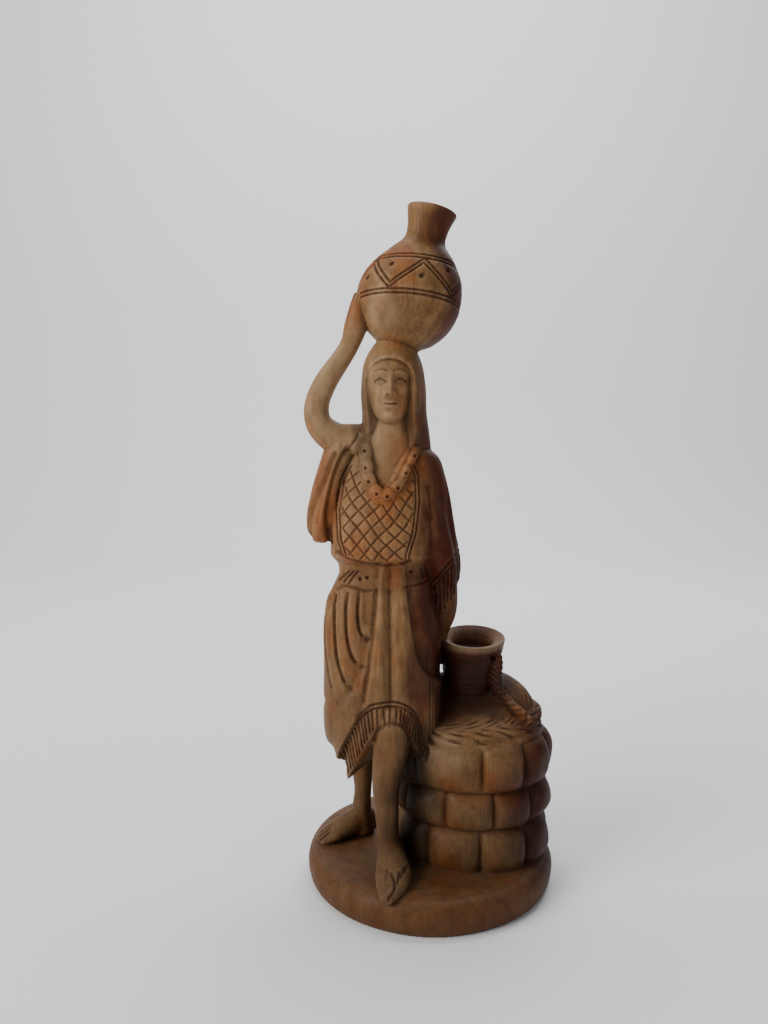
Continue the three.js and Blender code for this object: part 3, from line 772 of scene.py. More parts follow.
class Cuts:
    """Depth and stain at every point, both grown stroke by stroke."""

    def __init__(self, points, normals):
        self.points, self.normals = points, normals
        self.depth, self.stain = np.zeros((2, len(points)))

    def add(self, where, depth, stain=1.0):
        """Keeps the deeper of what is there and the new depth."""
        self.depth[where] = np.maximum(self.depth[where], depth)
        self.stain[where] = np.maximum(self.stain[where], stain * np.clip(depth / 0.35, 0, 1))

    def stroke(self, where, line, wide, deep, stain=1.0, view=FRONT):
        """Gaussian groove along a line given in two axes: FRONT (x, z), SIDE (y, z), TOP (x, y)."""
        line = np.asarray(line, float)
        place = self.points[where][:, view]
        near = ((place > line.min(0) - 3 * wide) & (place < line.max(0) + 3 * wide)).all(1)
        place = place[near]
        best = np.full(len(place), 1e9)
        for a, b in zip(line[:-1], line[1:]):
            along = b - a
            t = np.clip(((place - a) @ along) / max(along @ along, 1e-9), 0, 1)
            best = np.minimum(best, ((place - a - t[:, None] * along) ** 2).sum(1))
        self.add(where[near], deep * np.exp(-best / wide**2), stain)

    def front(self, rows, square, reach):
        """Forward-looking points within reach of an upright form's front: indices, x and z."""
        x, y, z = self.points.T
        dense = table(rows)
        inside = (z > dense[0, 0] - 6) & (z < dense[-1, 0] + 2) & (self.normals[:, 1] < 0.25)
        at = np.flatnonzero(inside)
        at = at[np.abs(y[at] - front_of(rows, square, x[at], z[at])) < reach]
        return at, x[at], z[at]

    def inside(self, low, high):
        """Forward-looking points in a box: indices, x and z."""
        box = (self.points > low).all(1) & (self.points < high).all(1)
        at = np.flatnonzero(box & (self.normals[:, 1] < 0.3))
        return at, self.points[at, 0], self.points[at, 2]


def cut_bodice(cuts):
    """Lattice of lines LATTICE apart at 45 degrees, inside double borders."""
    at, x, z = cuts.front(TORSO, OVAL, 4)
    left = np.interp(z, [149, 155, 167.5, 180, 187], [-37.4, -39.4, -40.4, -38.4, -35])
    right = np.interp(z, [149, 159, 171.7, 182, 187], [-10.9, -7.9, -6.4, -6.8, -9])
    low = np.interp(x, [-40, -36, -30, -24.4, -16, -9], [151.4, 148.6, 147, 146.3, 146.3, 147.6])
    panel = step(left + 1.3, left + 1.8, x) * step(right - 1.3, right - 1.8, x)
    panel = panel * step(low, low + 0.5, z) * step(187, 186, z) * (1 - opening(x, z))
    panel = panel * step(COLLAR_REACH, COLLAR_REACH + 0.4, from_collar(x, z))
    cx, cy, _, _ = ring_at(TORSO, z)
    across = 21 * np.arctan2(x - cx, -(cuts.points[at, 1] - cy)) + cx
    lines = 0 * x
    for slope in (1, -1):
        wobble = 0.6 * np.sin(0.21 * across - slope * 0.17 * z + slope)
        phase = (across + slope * (z - 150) + wobble) / np.sqrt(2) / LATTICE + 0.25
        lines = np.maximum(lines, hump(np.abs(phase - np.round(phase)) * LATTICE, 0, 0.34))
    cuts.add(at, 0.5 * lines * panel, 0.85)
    for middle in (left - 0.75, left + 0.75, right - 0.75, right + 0.75):
        cuts.add(at, 0.5 * hump(x, middle, 0.36) * step(low - 1, low, z) * step(187, 186, z))
    under = curve((-40, 149.8), (-36, 147.4), (-30, 145.7), (-24.4, 145), (-16, 145), (-9.6, 146.4))
    cuts.stroke(at, under, 0.7, 1.0, 0.6)


def cut_belt(cuts):
    """A few slanting strokes left of the sash, drilled dots, and a line below."""
    for rows in (TORSO, SKIRT):
        at, _, _ = cuts.front(rows, OVAL, 5)
        for k in range(3):
            low, high = (-40 + 2.2 * k, 137 - 0.3 * k), (-35.2 + 1.8 * k, 141.6)
            cuts.stroke(at, curve(low, (-37.4 + 2 * k, 139.6), high), 0.4, 0.5)
            cuts.stroke(at, [(-4.8 + 2 * k, 142.4), (-3.8 + 2 * k, 138.6)], 0.4, 0.45)
        for u, v in ((-30.8, 138.6), (-27.8, 139.2), (-9.4, 141.4)):
            cuts.stroke(at, [(u, v), (u + 0.1, v)], 0.6, 0.9)
        left = curve((-40.5, 133.4), (-37.4, 135.4), (-33, 134.8), (-29, 133.8), (-25.5, 134))
        cuts.stroke(at, left, 0.6, 0.6, 0.45)
        cuts.stroke(at, curve((-12, 135.4), (-6, 136), (-1.5, 137.2)), 0.55, 0.5, 0.45)


def cut_skirt(cuts):
    """Grooves between the folds, the double line along the hem and the fringe below it."""
    at, _, _ = cuts.front(SKIRT, OVAL, 6)
    for k, (q, last) in enumerate(((5.7, 1.05), (10.8, 1.1), (15.9, 0.92), (20.6, 0.68))):
        turn = np.linspace(0, last, 26)
        u = HIP_X - q * np.cos(turn) ** (2 / 3)
        v = HIP_Z - DROP * q * np.sin(turn) ** (2 / 3)
        line = np.vstack([[u[0] + 0.6, 134 - 1.5 * k], np.stack([u, v], -1)])
        cuts.stroke(at, line, 0.5, 0.7 + 0.1 * k, 0.16)
    fold = curve((-46, 83), (-40, 86.5), (-34, 94), (-29.5, 104), (-27.6, 114))
    cuts.stroke(at, fold, 1.9, 0.8, 0.03)
    z = np.linspace(134, 88, 20)
    left, right = sash_edges(z)
    cuts.stroke(at, np.stack([left - 1.0, z], -1), 1.0, 0.6, 0.15)
    cuts.stroke(at, np.stack([right + 1.4, z], -1)[:16], 1.2, 0.5, 0.12)
    cuts.stroke(at, np.stack([-18.6 + 0.014 * (134 - z), z], -1), 0.8, 0.4, 0.12)
    x = np.linspace(-40.2, -1.8, 60)
    for up in (1.9, 0.0):
        cuts.stroke(at, np.stack([x, hem_line(x) + up], -1), 0.4, 0.6)
    start = [(a, hem_line(a) - 0.6) for a in (-40, -36, -31.5, -25, -14, -8.5, -5.5, -2.8)]
    end = [(-38, 51), (-34, 58), (-29.5, 68), (-24.5, 77), (-14.5, 79.5), (-10, 75), (-5, 65)]
    for line in fan(start, end + [(-1.5, 58)], 30):
        cuts.stroke(at, line, 0.33, 0.6, 0.9)


def cut_knee(cuts):
    """A dark line where the knee comes out from under the fringe."""
    at, _, _ = cuts.inside((-30, -42, 66), (-4, -24, 84))
    line = curve((-24.8, 71.5), (-22.6, 77.5), (-17.4, 80.6), (-12.2, 78), (-9.9, 72))
    cuts.stroke(at, line, 0.7, 0.6, 0.55)


def cut_mantle(cuts):
    """Double line and fringe on the mantle's slanting front edge, a short hollow at the shoulder."""
    at, _, _ = cuts.inside((-6, -24, 122), (16, 3, 156))
    top = np.array([(13.5, 150.5), (11.2, 148.3), (7.5, 145.1), (3.3, 139.8), (-0.8, 134.5)])
    for off in (0, 1.7):
        cuts.stroke(at, curve(*(top + [0.7 * off, -0.8 * off])), 0.42, 0.6)
    end = [(14.4, 140), (12.2, 134.5), (9.2, 129.5), (5.6, 124.5), (1.5, 121.5)]
    for line in fan(top + [1.6, -2.0], end, 10, 0.8):
        cuts.stroke(at, line, 0.4, 0.7, 0.85)
    at, _, _ = cuts.inside((-6, -24, 158), (4, 0, 182))
    cuts.stroke(at, curve((-1.8, 177), (-1.0, 171), (-0.6, 164)), 1.1, 0.9, 0.4)


def cut_sleeve(cuts):
    """Two deep soft folds that fan out from the shoulder, and a fine one on the roll between."""
    at, _, _ = cuts.front(SLEEVE, 2.0, 7)
    lip = curve((-41.6, 191), (-43.8, 187), (-46.6, 179.7), (-51.6, 168.5), (-53.4, 160), (-52.8, 155))
    seam = curve((-30.6, 201.5), (-32.6, 197.4), (-35.4, 193.6), (-38, 190))
    fold = curve((-36.4, 192.6), (-38.6, 189.4), (-41.8, 181), (-44.4, 168), (-44.6, 160), (-44, 153))
    fine = curve((-38.6, 195), (-40.8, 189), (-43.8, 182), (-47.2, 172), (-49.2, 162))
    cuts.stroke(at, lip, 1.2, 1.6, 0.35)
    cuts.stroke(at, seam, 0.5, 0.6, 0.5)
    cuts.stroke(at, fold, 1.4, 1.5, 0.22)
    cuts.stroke(at, fine, 0.9, 0.4, 0.05)


def cut_collar(cuts):
    """In each lobe a drilled hole near its outer edge and part of a ring round it."""
    at, x, z = cuts.front(TORSO, OVAL, 5)
    for t in (np.arange(LOBES) + 0.5) / LOBES:
        place = through(COLLAR, t)
        out = unit(place - [-17.5, 192])
        hole = place + 0.5 * out
        away = np.hypot(x - hole[0], z - hole[1])
        facing = (x - hole[0]) * out[0] + (z - hole[1]) * out[1]
        cuts.add(at, 1.0 * hump(away, 0, 0.6))
        cuts.add(at, 0.3 * hump(away, 1.9, 0.34) * step(-0.5, 0.8, facing), 0.5)


def cut_jar(cuts):
    """Bands, zigzag and drilled dots, in degrees round the jar and height above a sloping ring."""
    at = np.flatnonzero(cuts.points[:, 2] > 250)
    x, y, z = cuts.points[at].T
    jar_x = np.interp(z, [row[1] for row in JAR], [row[0] for row in JAR])
    turn = np.degrees(np.arctan2(x - jar_x, -(y - JAR_Y)))
    r = np.hypot(x - jar_x, y - JAR_Y)
    up = z + 0.088 * (x + 12) + 0.083 * (y - JAR_Y)
    hand = (x < -29.5) & (np.abs(y + 7) < 6.4) & (z < 260.2)
    body = step(11, 13, r) * ~hand
    for level in BANDS:
        cuts.add(at, 0.55 * hump(up, level, 0.4) * body)
    levels = [VALLEY_Z] * len(VALLEYS) + [PEAK_Z] * len(PEAKS)
    height = lambda degrees: np.interp(degrees, VALLEYS + PEAKS, levels, period=360)
    slope = np.abs(height(turn + 1) - height(turn - 1)) / 2
    steep = np.sqrt(1 + (slope / np.maximum(0.0175 * r, 0.05)) ** 2)
    for off in (-0.85, 0.85):
        cuts.add(at, 0.55 * hump((up - height(turn)) / steep, off, 0.4) * body)
    for bend, level in [(bend - 8, 266.6) for bend in VALLEYS] + [(bend + 2, 261.9) for bend in PEAKS]:
        away = (np.mod(turn - bend + 180, 360) - 180) * 0.0175 * r
        cuts.add(at, 1.0 * np.exp(-(away**2 + (up - level) ** 2) / 0.85**2) * body)


def cut_fingers(cuts):
    """Lines between the fingers of the raised hand and between the toes."""
    x, _, z = cuts.points.T
    hand = np.flatnonzero((x < -28) & (z > 240) & (z < 261))
    for off in (-3.6, -0.4, 2.8):
        line = curve((off - 6.6, 249), (off - 7, 255), (off - 7.2, 260.5))
        cuts.stroke(hand, line, 0.45, 0.7, 0.6, SIDE)
    feet = np.flatnonzero((z > 14.9) & (z < 24) & (cuts.normals[:, 2] > -0.2))
    big_toe = curve((-17.6, -43), (-16.3, -46.6), (-16.5, -50), (-18.8, -53.2))
    cuts.stroke(feet, big_toe, 0.42, 0.8, 0.7, TOP)
    for u, v, along, down in ((-14, -42, -1.2, -5), (-12.2, -39.6, -1.4, -4.4), (-10.8, -37, -1.2, -4)):
        cuts.stroke(feet, [(u, v), (u + along, v + down)], 0.42, 0.8, 0.6, TOP)
    cuts.stroke(feet, [(-19.2, -41), (-19.8, -45.4)], 0.5, 0.4, 0.3, TOP)
    for k in range(3):
        toe = [(-45.5 + 0.4 * k, -5.4 + 2.3 * k), (-50, -7 + 2.5 * k)]
        cuts.stroke(feet, toe, 0.42, 0.7, 0.7, TOP)


def cut_rope(cuts):
    """Herringbone: strokes where (length - 3.8 way off the middle) / ROPE_TURN is a whole number."""
    x, y, z = cuts.points.T
    at = np.flatnonzero((z > 60) & (z < 96) & (cuts.normals[:, 2] > -0.3))
    u, v = (x[at] - WELL["x"]) / WELL["wide"], (y[at] - WELL["y"]) / WELL["deep"]
    angle = np.arctan2(v, u)
    off = (np.hypot(u, v) - rope_share(angle)) * 30
    along = angle * 26 - 3.8 * np.abs(off) + 0.9 * np.sin(5 * angle) + 0.5 * np.sin(13 * angle + off)
    phase = along / ROPE_TURN
    lines = hump(phase - np.round(phase), 0, 0.17)
    lines = lines * step(4.8, 3.6, np.abs(off)) * step(0.0, 0.5, np.abs(off))
    uneven = 0.55 + 0.45 * np.sin(17 * angle + 2 * np.sign(off))
    shown = step(0.4, -0.2, np.sin(angle)) * step(-2.95, -2.75, angle)
    cuts.add(at, 0.75 * lines * uneven * shown, 0.75)
    near, _, _ = cuts.inside((24, -24, 70), (48, 0, 104))
    for k, (u, _, v, wide, _) in enumerate(through(ROPE_FALL, np.linspace(0.06, 1, 15))):
        strand = [(u - wide, v + 1.6), (u + 0.2, v - 0.6 - 0.05 * k), (u + wide, v + 0.4)]
        cuts.stroke(near, strand, 0.36, 0.4, 0.6)
    cuts.stroke(near, [(26.9, 101.8), (27.3, 101.2)], 1.0, 1.6)
    cuts.stroke(near, [(25.4, 103.4), (24.4, 100)], 0.6, 0.4, 0.4)


def cut_face(cuts):
    """Thin lines of brows, lids, iris, nostrils and mouth."""
    at, x, z = cuts.inside((-28, -24, 200), (-6, -14, 232))
    for side in (-1, 1):
        eye = FACE_X + side * EYE_X
        across = lambda reach, low: (eye + reach * side, low)
        brow = [across(-2.9, BROW_Z + 0.4), across(0, BROW_Z + 1.2), across(2.8, BROW_Z + 0.1)]
        lid = [across(-2.3, EYE_Z - 0.1), across(0, EYE_Z + 1.35), across(2.4, EYE_Z)]
        under = [across(-2.1, EYE_Z - 0.4), across(0, EYE_Z - 1.3), across(2.3, EYE_Z - 0.1)]
        cuts.stroke(at, curve(*brow), 0.42, 0.25, 0.8)
        cuts.stroke(at, curve(*lid), 0.36, 0.4)
        cuts.stroke(at, curve(*under), 0.3, 0.26, 0.85)
        away = np.hypot(x - eye, z - EYE_Z)
        cuts.add(at, 0.26 * hump(away, 0.85, 0.26))
        cuts.add(at, 0.36 * hump(away, 0, 0.36))
        nostril = [(FACE_X + 1.0 * side, NOSE_Z - 0.1), (FACE_X + 1.6 * side, NOSE_Z)]
        cuts.stroke(at, nostril, 0.3, 0.4, 0.7)
    bow = ((-2.6, 0.2), (-1, 0.1), (0, -0.1), (1, 0.1), (2.6, 0.2))
    cuts.stroke(at, curve(*((FACE_X + u, MOUTH_Z + v) for u, v in bow)), 0.32, 0.4, 0.9)


normals = read(carving.vertices, "normal", 3).astype(float)
cuts = Cuts(points, normals)
WORK = [cut_bodice, cut_belt, cut_skirt, cut_knee, cut_mantle, cut_sleeve]
WORK += [cut_collar, cut_jar, cut_fingers, cut_rope, cut_face]
for work in WORK:
    work(cuts)
points = points - normals * cuts.depth[:, None]
set_points(carving, points)
print("cut points", int((cuts.depth > 0.1).sum()))

# %% [markdown]
# ## Hollows, dust and a lighter mesh
#
# How far a point lies under the smoothed surface says where oil, dirt and stain gather and where shade
# falls, so the material darkens the hollows with real stain and painted shade together. It is worked out
# on the fine mesh and kept as attributes of its points. A collapse decimation then takes most triangles
# out of the flat stretches and leaves them in the cuts. The remesh can leave tiny closed bubbles inside
# the wood, which go last.

# %%
def keep(mesh, name, values):
    """Stores one number per point as an attribute that materials can read."""
    mesh.attributes.new(name, "FLOAT", "POINT").data.foreach_set("value", values.astype(np.float32))


def hollows(points, normals, rounds):
    """(smoothed - point) . normal in millimetres, above 0 in a hollow and below 0 on an edge."""
    soft = points.copy()
    for _ in range(rounds):
        soft += 0.6 * (averaged(soft, edges, len(soft)) - soft)
    return ((soft - points) * normals).sum(1)


def keep_skin(mesh):
    """Keeps the largest closed shell and takes out the tiny bubbles left inside the wood."""
    skin = bmesh.new()
    skin.from_mesh(mesh)
    left = set(skin.verts)
    shells = []
    while left:
        front = {left.pop()}
        shell = set(front)
        while front:
            near = {edge.other_vert(vert) for vert in front for edge in vert.link_edges}
            front = near - shell
            shell |= front
        left -= shell
        shells.append(shell)
    shells.sort(key=len)
    bubbles = [vert for shell in shells[:-1] for vert in shell]
    bmesh.ops.delete(skin, geom=bubbles, context="VERTS")
    skin.to_mesh(mesh)
    skin.free()
    print("bubbles taken out", len(shells) - 1)


fine = hollows(points, normals, 14)
wide = hollows(points, normals, 70)
keep(carving, "stain", cuts.stain)
keep(carving, "fine", np.clip(0.5 + fine * 1.6, 0, 1))
keep(carving, "wide", np.clip(0.5 + wide * 0.45, 0, 1))
keep(carving, "up", np.clip(normals[:, 2], 0, 1))

statue = bpy.data.objects.new("statue_carving", carving)
bpy.context.scene.collection.objects.link(statue)
triangles = 2 * len(carving.polygons)
if triangles > BUDGET:
    thin = statue.modifiers.new("thin", "DECIMATE")
    thin.ratio = BUDGET / triangles
    light = evaluated(statue, "statue_carving")
    statue.modifiers.clear()
    statue.data = light
keep_skin(statue.data)
statue.data.shade_smooth()
print("triangles", triangles, "kept", len(statue.data.polygons))

# %% [markdown]
# ## Olive wood
#
# Growth rings are distances from a pith line that runs up inside the log, warped by slow noise, with dark
# lines at uneven spacing. Fibres are noise stretched twenty times along the log. Sapwood is honey-coloured
# and heartwood red-brown, and PATCHES says where a tint lies on the carving; most tints are the wood's own
# colour, and the ones marked in the list are painted shade and painted light. The colour also grows darker
# towards the foot, partly as painted shade. Each effect is a node group, so that the same grain, or wear
# and painted shade, can be put on another carving.

# %%
def rgb(red, green, blue):
    """A colour given as it looks on a screen, 0 to 255, turned to linear light."""
    share = np.array([red, green, blue]) / 255
    linear = np.where(share <= 0.04045, share / 12.92, ((share + 0.055) / 1.055) ** 2.4)
    return (*linear.tolist(), 1.0)


HONEY = rgb(146, 113, 76)
PALE = rgb(164, 137, 103)
MIDDLE = rgb(118, 82, 50)
AMBER = rgb(134, 76, 38)
# Red-brown of the heartwood, also used as painted shade in some patches.
HEART_AND_SHADE = rgb(68, 23, 6)
LINE = rgb(66, 38, 24)
# Dark stain rubbed into the cuts, also used as painted shade in the hollows.
STAIN_AND_SHADE = rgb(40, 20, 11)
# Dark soot-like stain, also used as painted shade in patches.
SOOT_AND_SHADE = rgb(32, 18, 9)
DUST = rgb(146, 124, 98)
HEART_EDGE, HEART_FULL = 30, 20
PATCHES = [
    ((-32, -12, 214), (20, 24, 32), PALE, 0.35),
    ((-47, -8, 218), (14, 20, 22), PALE, 0.4),
    ((-20, -20, 194), (11, 16, 18), PALE, 0.2),
    ((-24, -24, 249), (9, 9, 11), PALE, 0.45),
    ((-22, -28, 166), (24, 14, 22), AMBER, 0.2),
    ((-48, -8, 172), (12, 16, 24), AMBER, 0.45),
    ((-20, -26, 174), (9, 8, 5), AMBER, 0.7),
    ((20, -30, 52), (16, 10, 9), AMBER, 0.4),
    ((0, -20, 4), (80, 60, 13), AMBER, 0.45),
    # Painted shadow under the bodice's overhang, over the belt.
    ((-22, -24, 139), (26, 14, 7), HEART_AND_SHADE, 0.32),
    ((8, -10, 128), (21, 24, 55), HEART_AND_SHADE, 0.94),
    # Darker on the lower right flank of the sash, partly painted shade.
    ((-5, -28, 98), (9, 12, 16), HEART_AND_SHADE, 0.6),
    ((15, -8, 266), (14, 20, 22), HEART_AND_SHADE, 0.85),
    # Right side of the well, away from the window: painted shade, partly heartwood.
    ((48, -6, 40), (21, 36, 48), HEART_AND_SHADE, 0.95),
    ((33, -26, 46), (12, 16, 14), HEART_AND_SHADE, 0.35),
    ((10, -4, 117), (7, 20, 16), MIDDLE, 0.35),
    # Dark stain round the bucket and mound, partly painted shade between the figure and the bucket.
    ((15, -7, 90), (21, 20, 17), SOOT_AND_SHADE, 0.66),
    # Painted light on the bucket's broad sloping lip, where it sits in shade.
    ((21, -7, 108), (17, 18, 4.4), PALE, 0.34),
    ((2, -32, 66), (11, 14, 10), PALE, 0.35),
    # Painted shade on the shin's right side and between the shin and the well, with some dark stain.
    ((-10, -22, 46), (12.4, 16, 38), SOOT_AND_SHADE, 0.76),
    ((-14, -24, 248), (11, 12, 9), SOOT_AND_SHADE, 0.25),
    # Painted shadow inside the veil on each side of the neck.
    ((-29.5, -10, 206), (5.5, 14, 22), SOOT_AND_SHADE, 0.5),
    ((-8, -12, 208), (5, 10, 20), SOOT_AND_SHADE, 0.45),
]


class Nodes:
    """Short ways to add and join nodes in one tree. Each gives the new node's output."""

    def __init__(self, tree):
        self.tree = tree

    def put(self, socket, value):
        """Joins a socket to the input, or sets the input's own value."""
        if isinstance(value, bpy.types.NodeSocket):
            self.tree.links.new(value, socket)
        else:
            socket.default_value = value

    def add(self, kind, links, **settings):
        """All outputs of a node of the given kind; links fill its inputs."""
        node = self.tree.nodes.new("ShaderNode" + kind)
        for key, value in settings.items():
            setattr(node, key, value)
        for key, value in links.items():
            self.put(node.inputs[key], value)
        return node.outputs

    def math(self, operation, *values, clamp=False):
        """One arithmetic node. Under it: a + b, a - b, a b, and the line a b + c."""
        links = dict(enumerate(values))
        return self.add("Math", links, operation=operation, use_clamp=clamp)[0]

    plus = partialmethod(math, "ADD")
    minus = partialmethod(math, "SUBTRACT")
    times = partialmethod(math, "MULTIPLY")
    line = partialmethod(math, "MULTIPLY_ADD")

    def vector(self, operation, a, b=(0, 0, 0)):
        """One vector node; LENGTH gives a number, on its second output."""
        return self.add("VectorMath", {0: a, 1: b}, operation=operation)[int(operation == "LENGTH")]

    def ramp(self, value, low, high, to_low=0.0, to_high=1.0):
        """Smooth step of value from low..high to to_low..to_high."""
        links = {"Value": value, "From Min": low, "From Max": high, "To Min": to_low, "To Max": to_high}
        return self.add("MapRange", links, interpolation_type="SMOOTHSTEP")["Result"]

    def noise(self, vector, scale, detail, roughness=0.5):
        """Fractal noise, about 0.5 on average, of the vector times scale (x, y, z)."""
        place = self.vector("MULTIPLY", vector, scale)
        links = {"Vector": place, "Scale": 1.0, "Detail": detail, "Roughness": roughness}
        return self.add("TexNoise", links)["Fac"]

    def mix(self, share, a, b):
        """Colour a to b."""
        return self.add("Mix", {0: share, 6: a, 7: b}, data_type="RGBA")[2]


SOCKETS = {1: "NodeSocketFloat", 3: "NodeSocketVector", 4: "NodeSocketColor"}


def group(name, inputs, outputs):
    """A node group whose sockets take their kind from the given values, with its Nodes and ends."""
    tree = bpy.data.node_groups.new(name, "ShaderNodeTree")
    for way, sockets in (("INPUT", inputs), ("OUTPUT", outputs)):
        for socket, value in sockets.items():
            made = tree.interface.new_socket(socket, in_out=way, socket_type=SOCKETS[np.size(value)])
            made.default_value = value
    given = tree.nodes.new("NodeGroupInput").outputs
    result = tree.nodes.new("NodeGroupOutput").inputs
    return Nodes(tree), given, result


def grain_group():
    """Rings, fibres and pores of wood whose log runs along Z. Vector is in millimetres."""
    inputs = {"Vector": (0, 0, 0), "Pith X": 16.0, "Pith Y": 4.0, "Ring Spacing": 3.4, "Warp": 9.0}
    outputs = dict.fromkeys(("Rings", "Fibre", "Pores", "Blotch", "Radius"), 0.0)
    nodes, given, result = group("Wood grain", inputs, outputs)
    place, warp = given["Vector"], given["Warp"]
    slow = nodes.noise(place, (0.016, 0.016, 0.007), 2.0)
    quick = nodes.noise(place, (0.07, 0.07, 0.016), 3.0)
    parts = nodes.add("SeparateXYZ", {0: place})
    x = nodes.minus(parts[0], given["Pith X"])
    y = nodes.minus(parts[1], given["Pith Y"])
    radius = nodes.math("SQRT", nodes.plus(nodes.times(x, x), nodes.times(y, y)))
    bend = nodes.times(nodes.minus(slow, 0.5), nodes.times(warp, 5.0))
    small = nodes.times(nodes.minus(quick, 0.5), nodes.times(warp, 0.7))
    turns = nodes.math("DIVIDE", nodes.plus(radius, nodes.plus(bend, small)), given["Ring Spacing"])
    uneven = nodes.add("TexNoise", {"W": turns, "Scale": 1.0, "Detail": 3.0}, noise_dimensions="1D")
    nodes.put(result["Radius"], nodes.line(bend, 0.4, radius))
    nodes.put(result["Rings"], nodes.ramp(uneven["Fac"], 0.44, 0.66))
    nodes.put(result["Fibre"], nodes.noise(place, (1.1, 1.1, 0.055), 4.0, 0.6))
    nodes.put(result["Pores"], nodes.ramp(nodes.noise(place, (3.6, 3.6, 0.42), 1.0), 0.66, 0.76))
    nodes.put(result["Blotch"], nodes.noise(place, (0.05, 0.05, 0.03), 3.0, 0.55))
    return nodes.tree


def wear_and_shade_group():
    """Stain in cuts, stain and painted shade in hollows, rubbed edges made lighter partly as a painted
    highlight, and dust, from numbers kept on the mesh.
    """
    inputs = {"Vector": (0, 0, 0), "Color": HONEY, "Stain And Shade Color": STAIN_AND_SHADE, "Dust Color": DUST}
    inputs.update({"Cut": 0.0, "Fine Hollow": 0.5, "Wide Hollow": 0.5, "Up": 0.0})
    inputs.update({"Hollow Grime And Shade": 0.48, "Rub And Highlight": 0.35, "Dust": 0.06})
    outputs = {"Color": HONEY, "Roughness": 0.0, "Stain And Shade Mask": 0.0}
    nodes, given, result = group("Carving wear", inputs, outputs)
    speck = nodes.noise(given["Vector"], (0.45, 0.45, 0.45), 4.0, 0.65)
    uneven = nodes.ramp(speck, 0.3, 0.7, 0.6, 1.0)
    cut = nodes.times(given["Cut"], uneven, clamp=True)
    deep = nodes.ramp(given["Fine Hollow"], 0.55, 0.9)
    broad = nodes.ramp(given["Wide Hollow"], 0.53, 0.95)
    # Hollows darkened: stain gathered in them, and painted shade where less light reaches.
    grime_and_shade = nodes.times(nodes.plus(deep, nodes.times(broad, 0.8)), given["Hollow Grime And Shade"])
    dark = nodes.math("MAXIMUM", cut, nodes.times(grime_and_shade, uneven), clamp=True)
    color = nodes.mix(dark, given["Color"], given["Stain And Shade Color"])
    # Raised edges lightened: rubbed wear, and partly a painted highlight on raised parts.
    edge = nodes.times(nodes.ramp(given["Fine Hollow"], 0.47, 0.3), given["Rub And Highlight"])
    light = nodes.add("HueSaturation", {"Value": 1.5, "Saturation": 0.9, "Color": color})[0]
    color = nodes.mix(edge, color, light)
    settled = nodes.times(nodes.times(nodes.ramp(given["Up"], 0.55, 0.95), uneven), given["Dust"])
    rough = nodes.line(dark, 0.25, nodes.times(settled, 0.6))
    nodes.put(result["Color"], nodes.mix(settled, color, given["Dust Color"]))
    nodes.put(result["Roughness"], nodes.minus(rough, nodes.times(edge, 0.15)))
    nodes.put(result["Stain And Shade Mask"], dark)
    return nodes.tree


def patch_group():
    """1 inside an oval of the given middle and size, with a ragged edge."""
    inputs = {"Vector": (0, 0, 0), "Middle": (0, 0, 0), "Size": (1, 1, 1), "Ragged": 0.6}
    nodes, given, result = group("Tint and shade patch", inputs, {"Mask": 0.0})
    off = nodes.vector("SUBTRACT", given["Vector"], given["Middle"])
    far = nodes.vector("LENGTH", nodes.vector("DIVIDE", off, given["Size"]))
    rough = nodes.noise(given["Vector"], (0.14, 0.14, 0.1), 3.0)
    shake = nodes.times(nodes.minus(rough, 0.5), given["Ragged"])
    nodes.put(result["Mask"], nodes.ramp(nodes.plus(far, shake), 1.25, 0.6))
    return nodes.tree


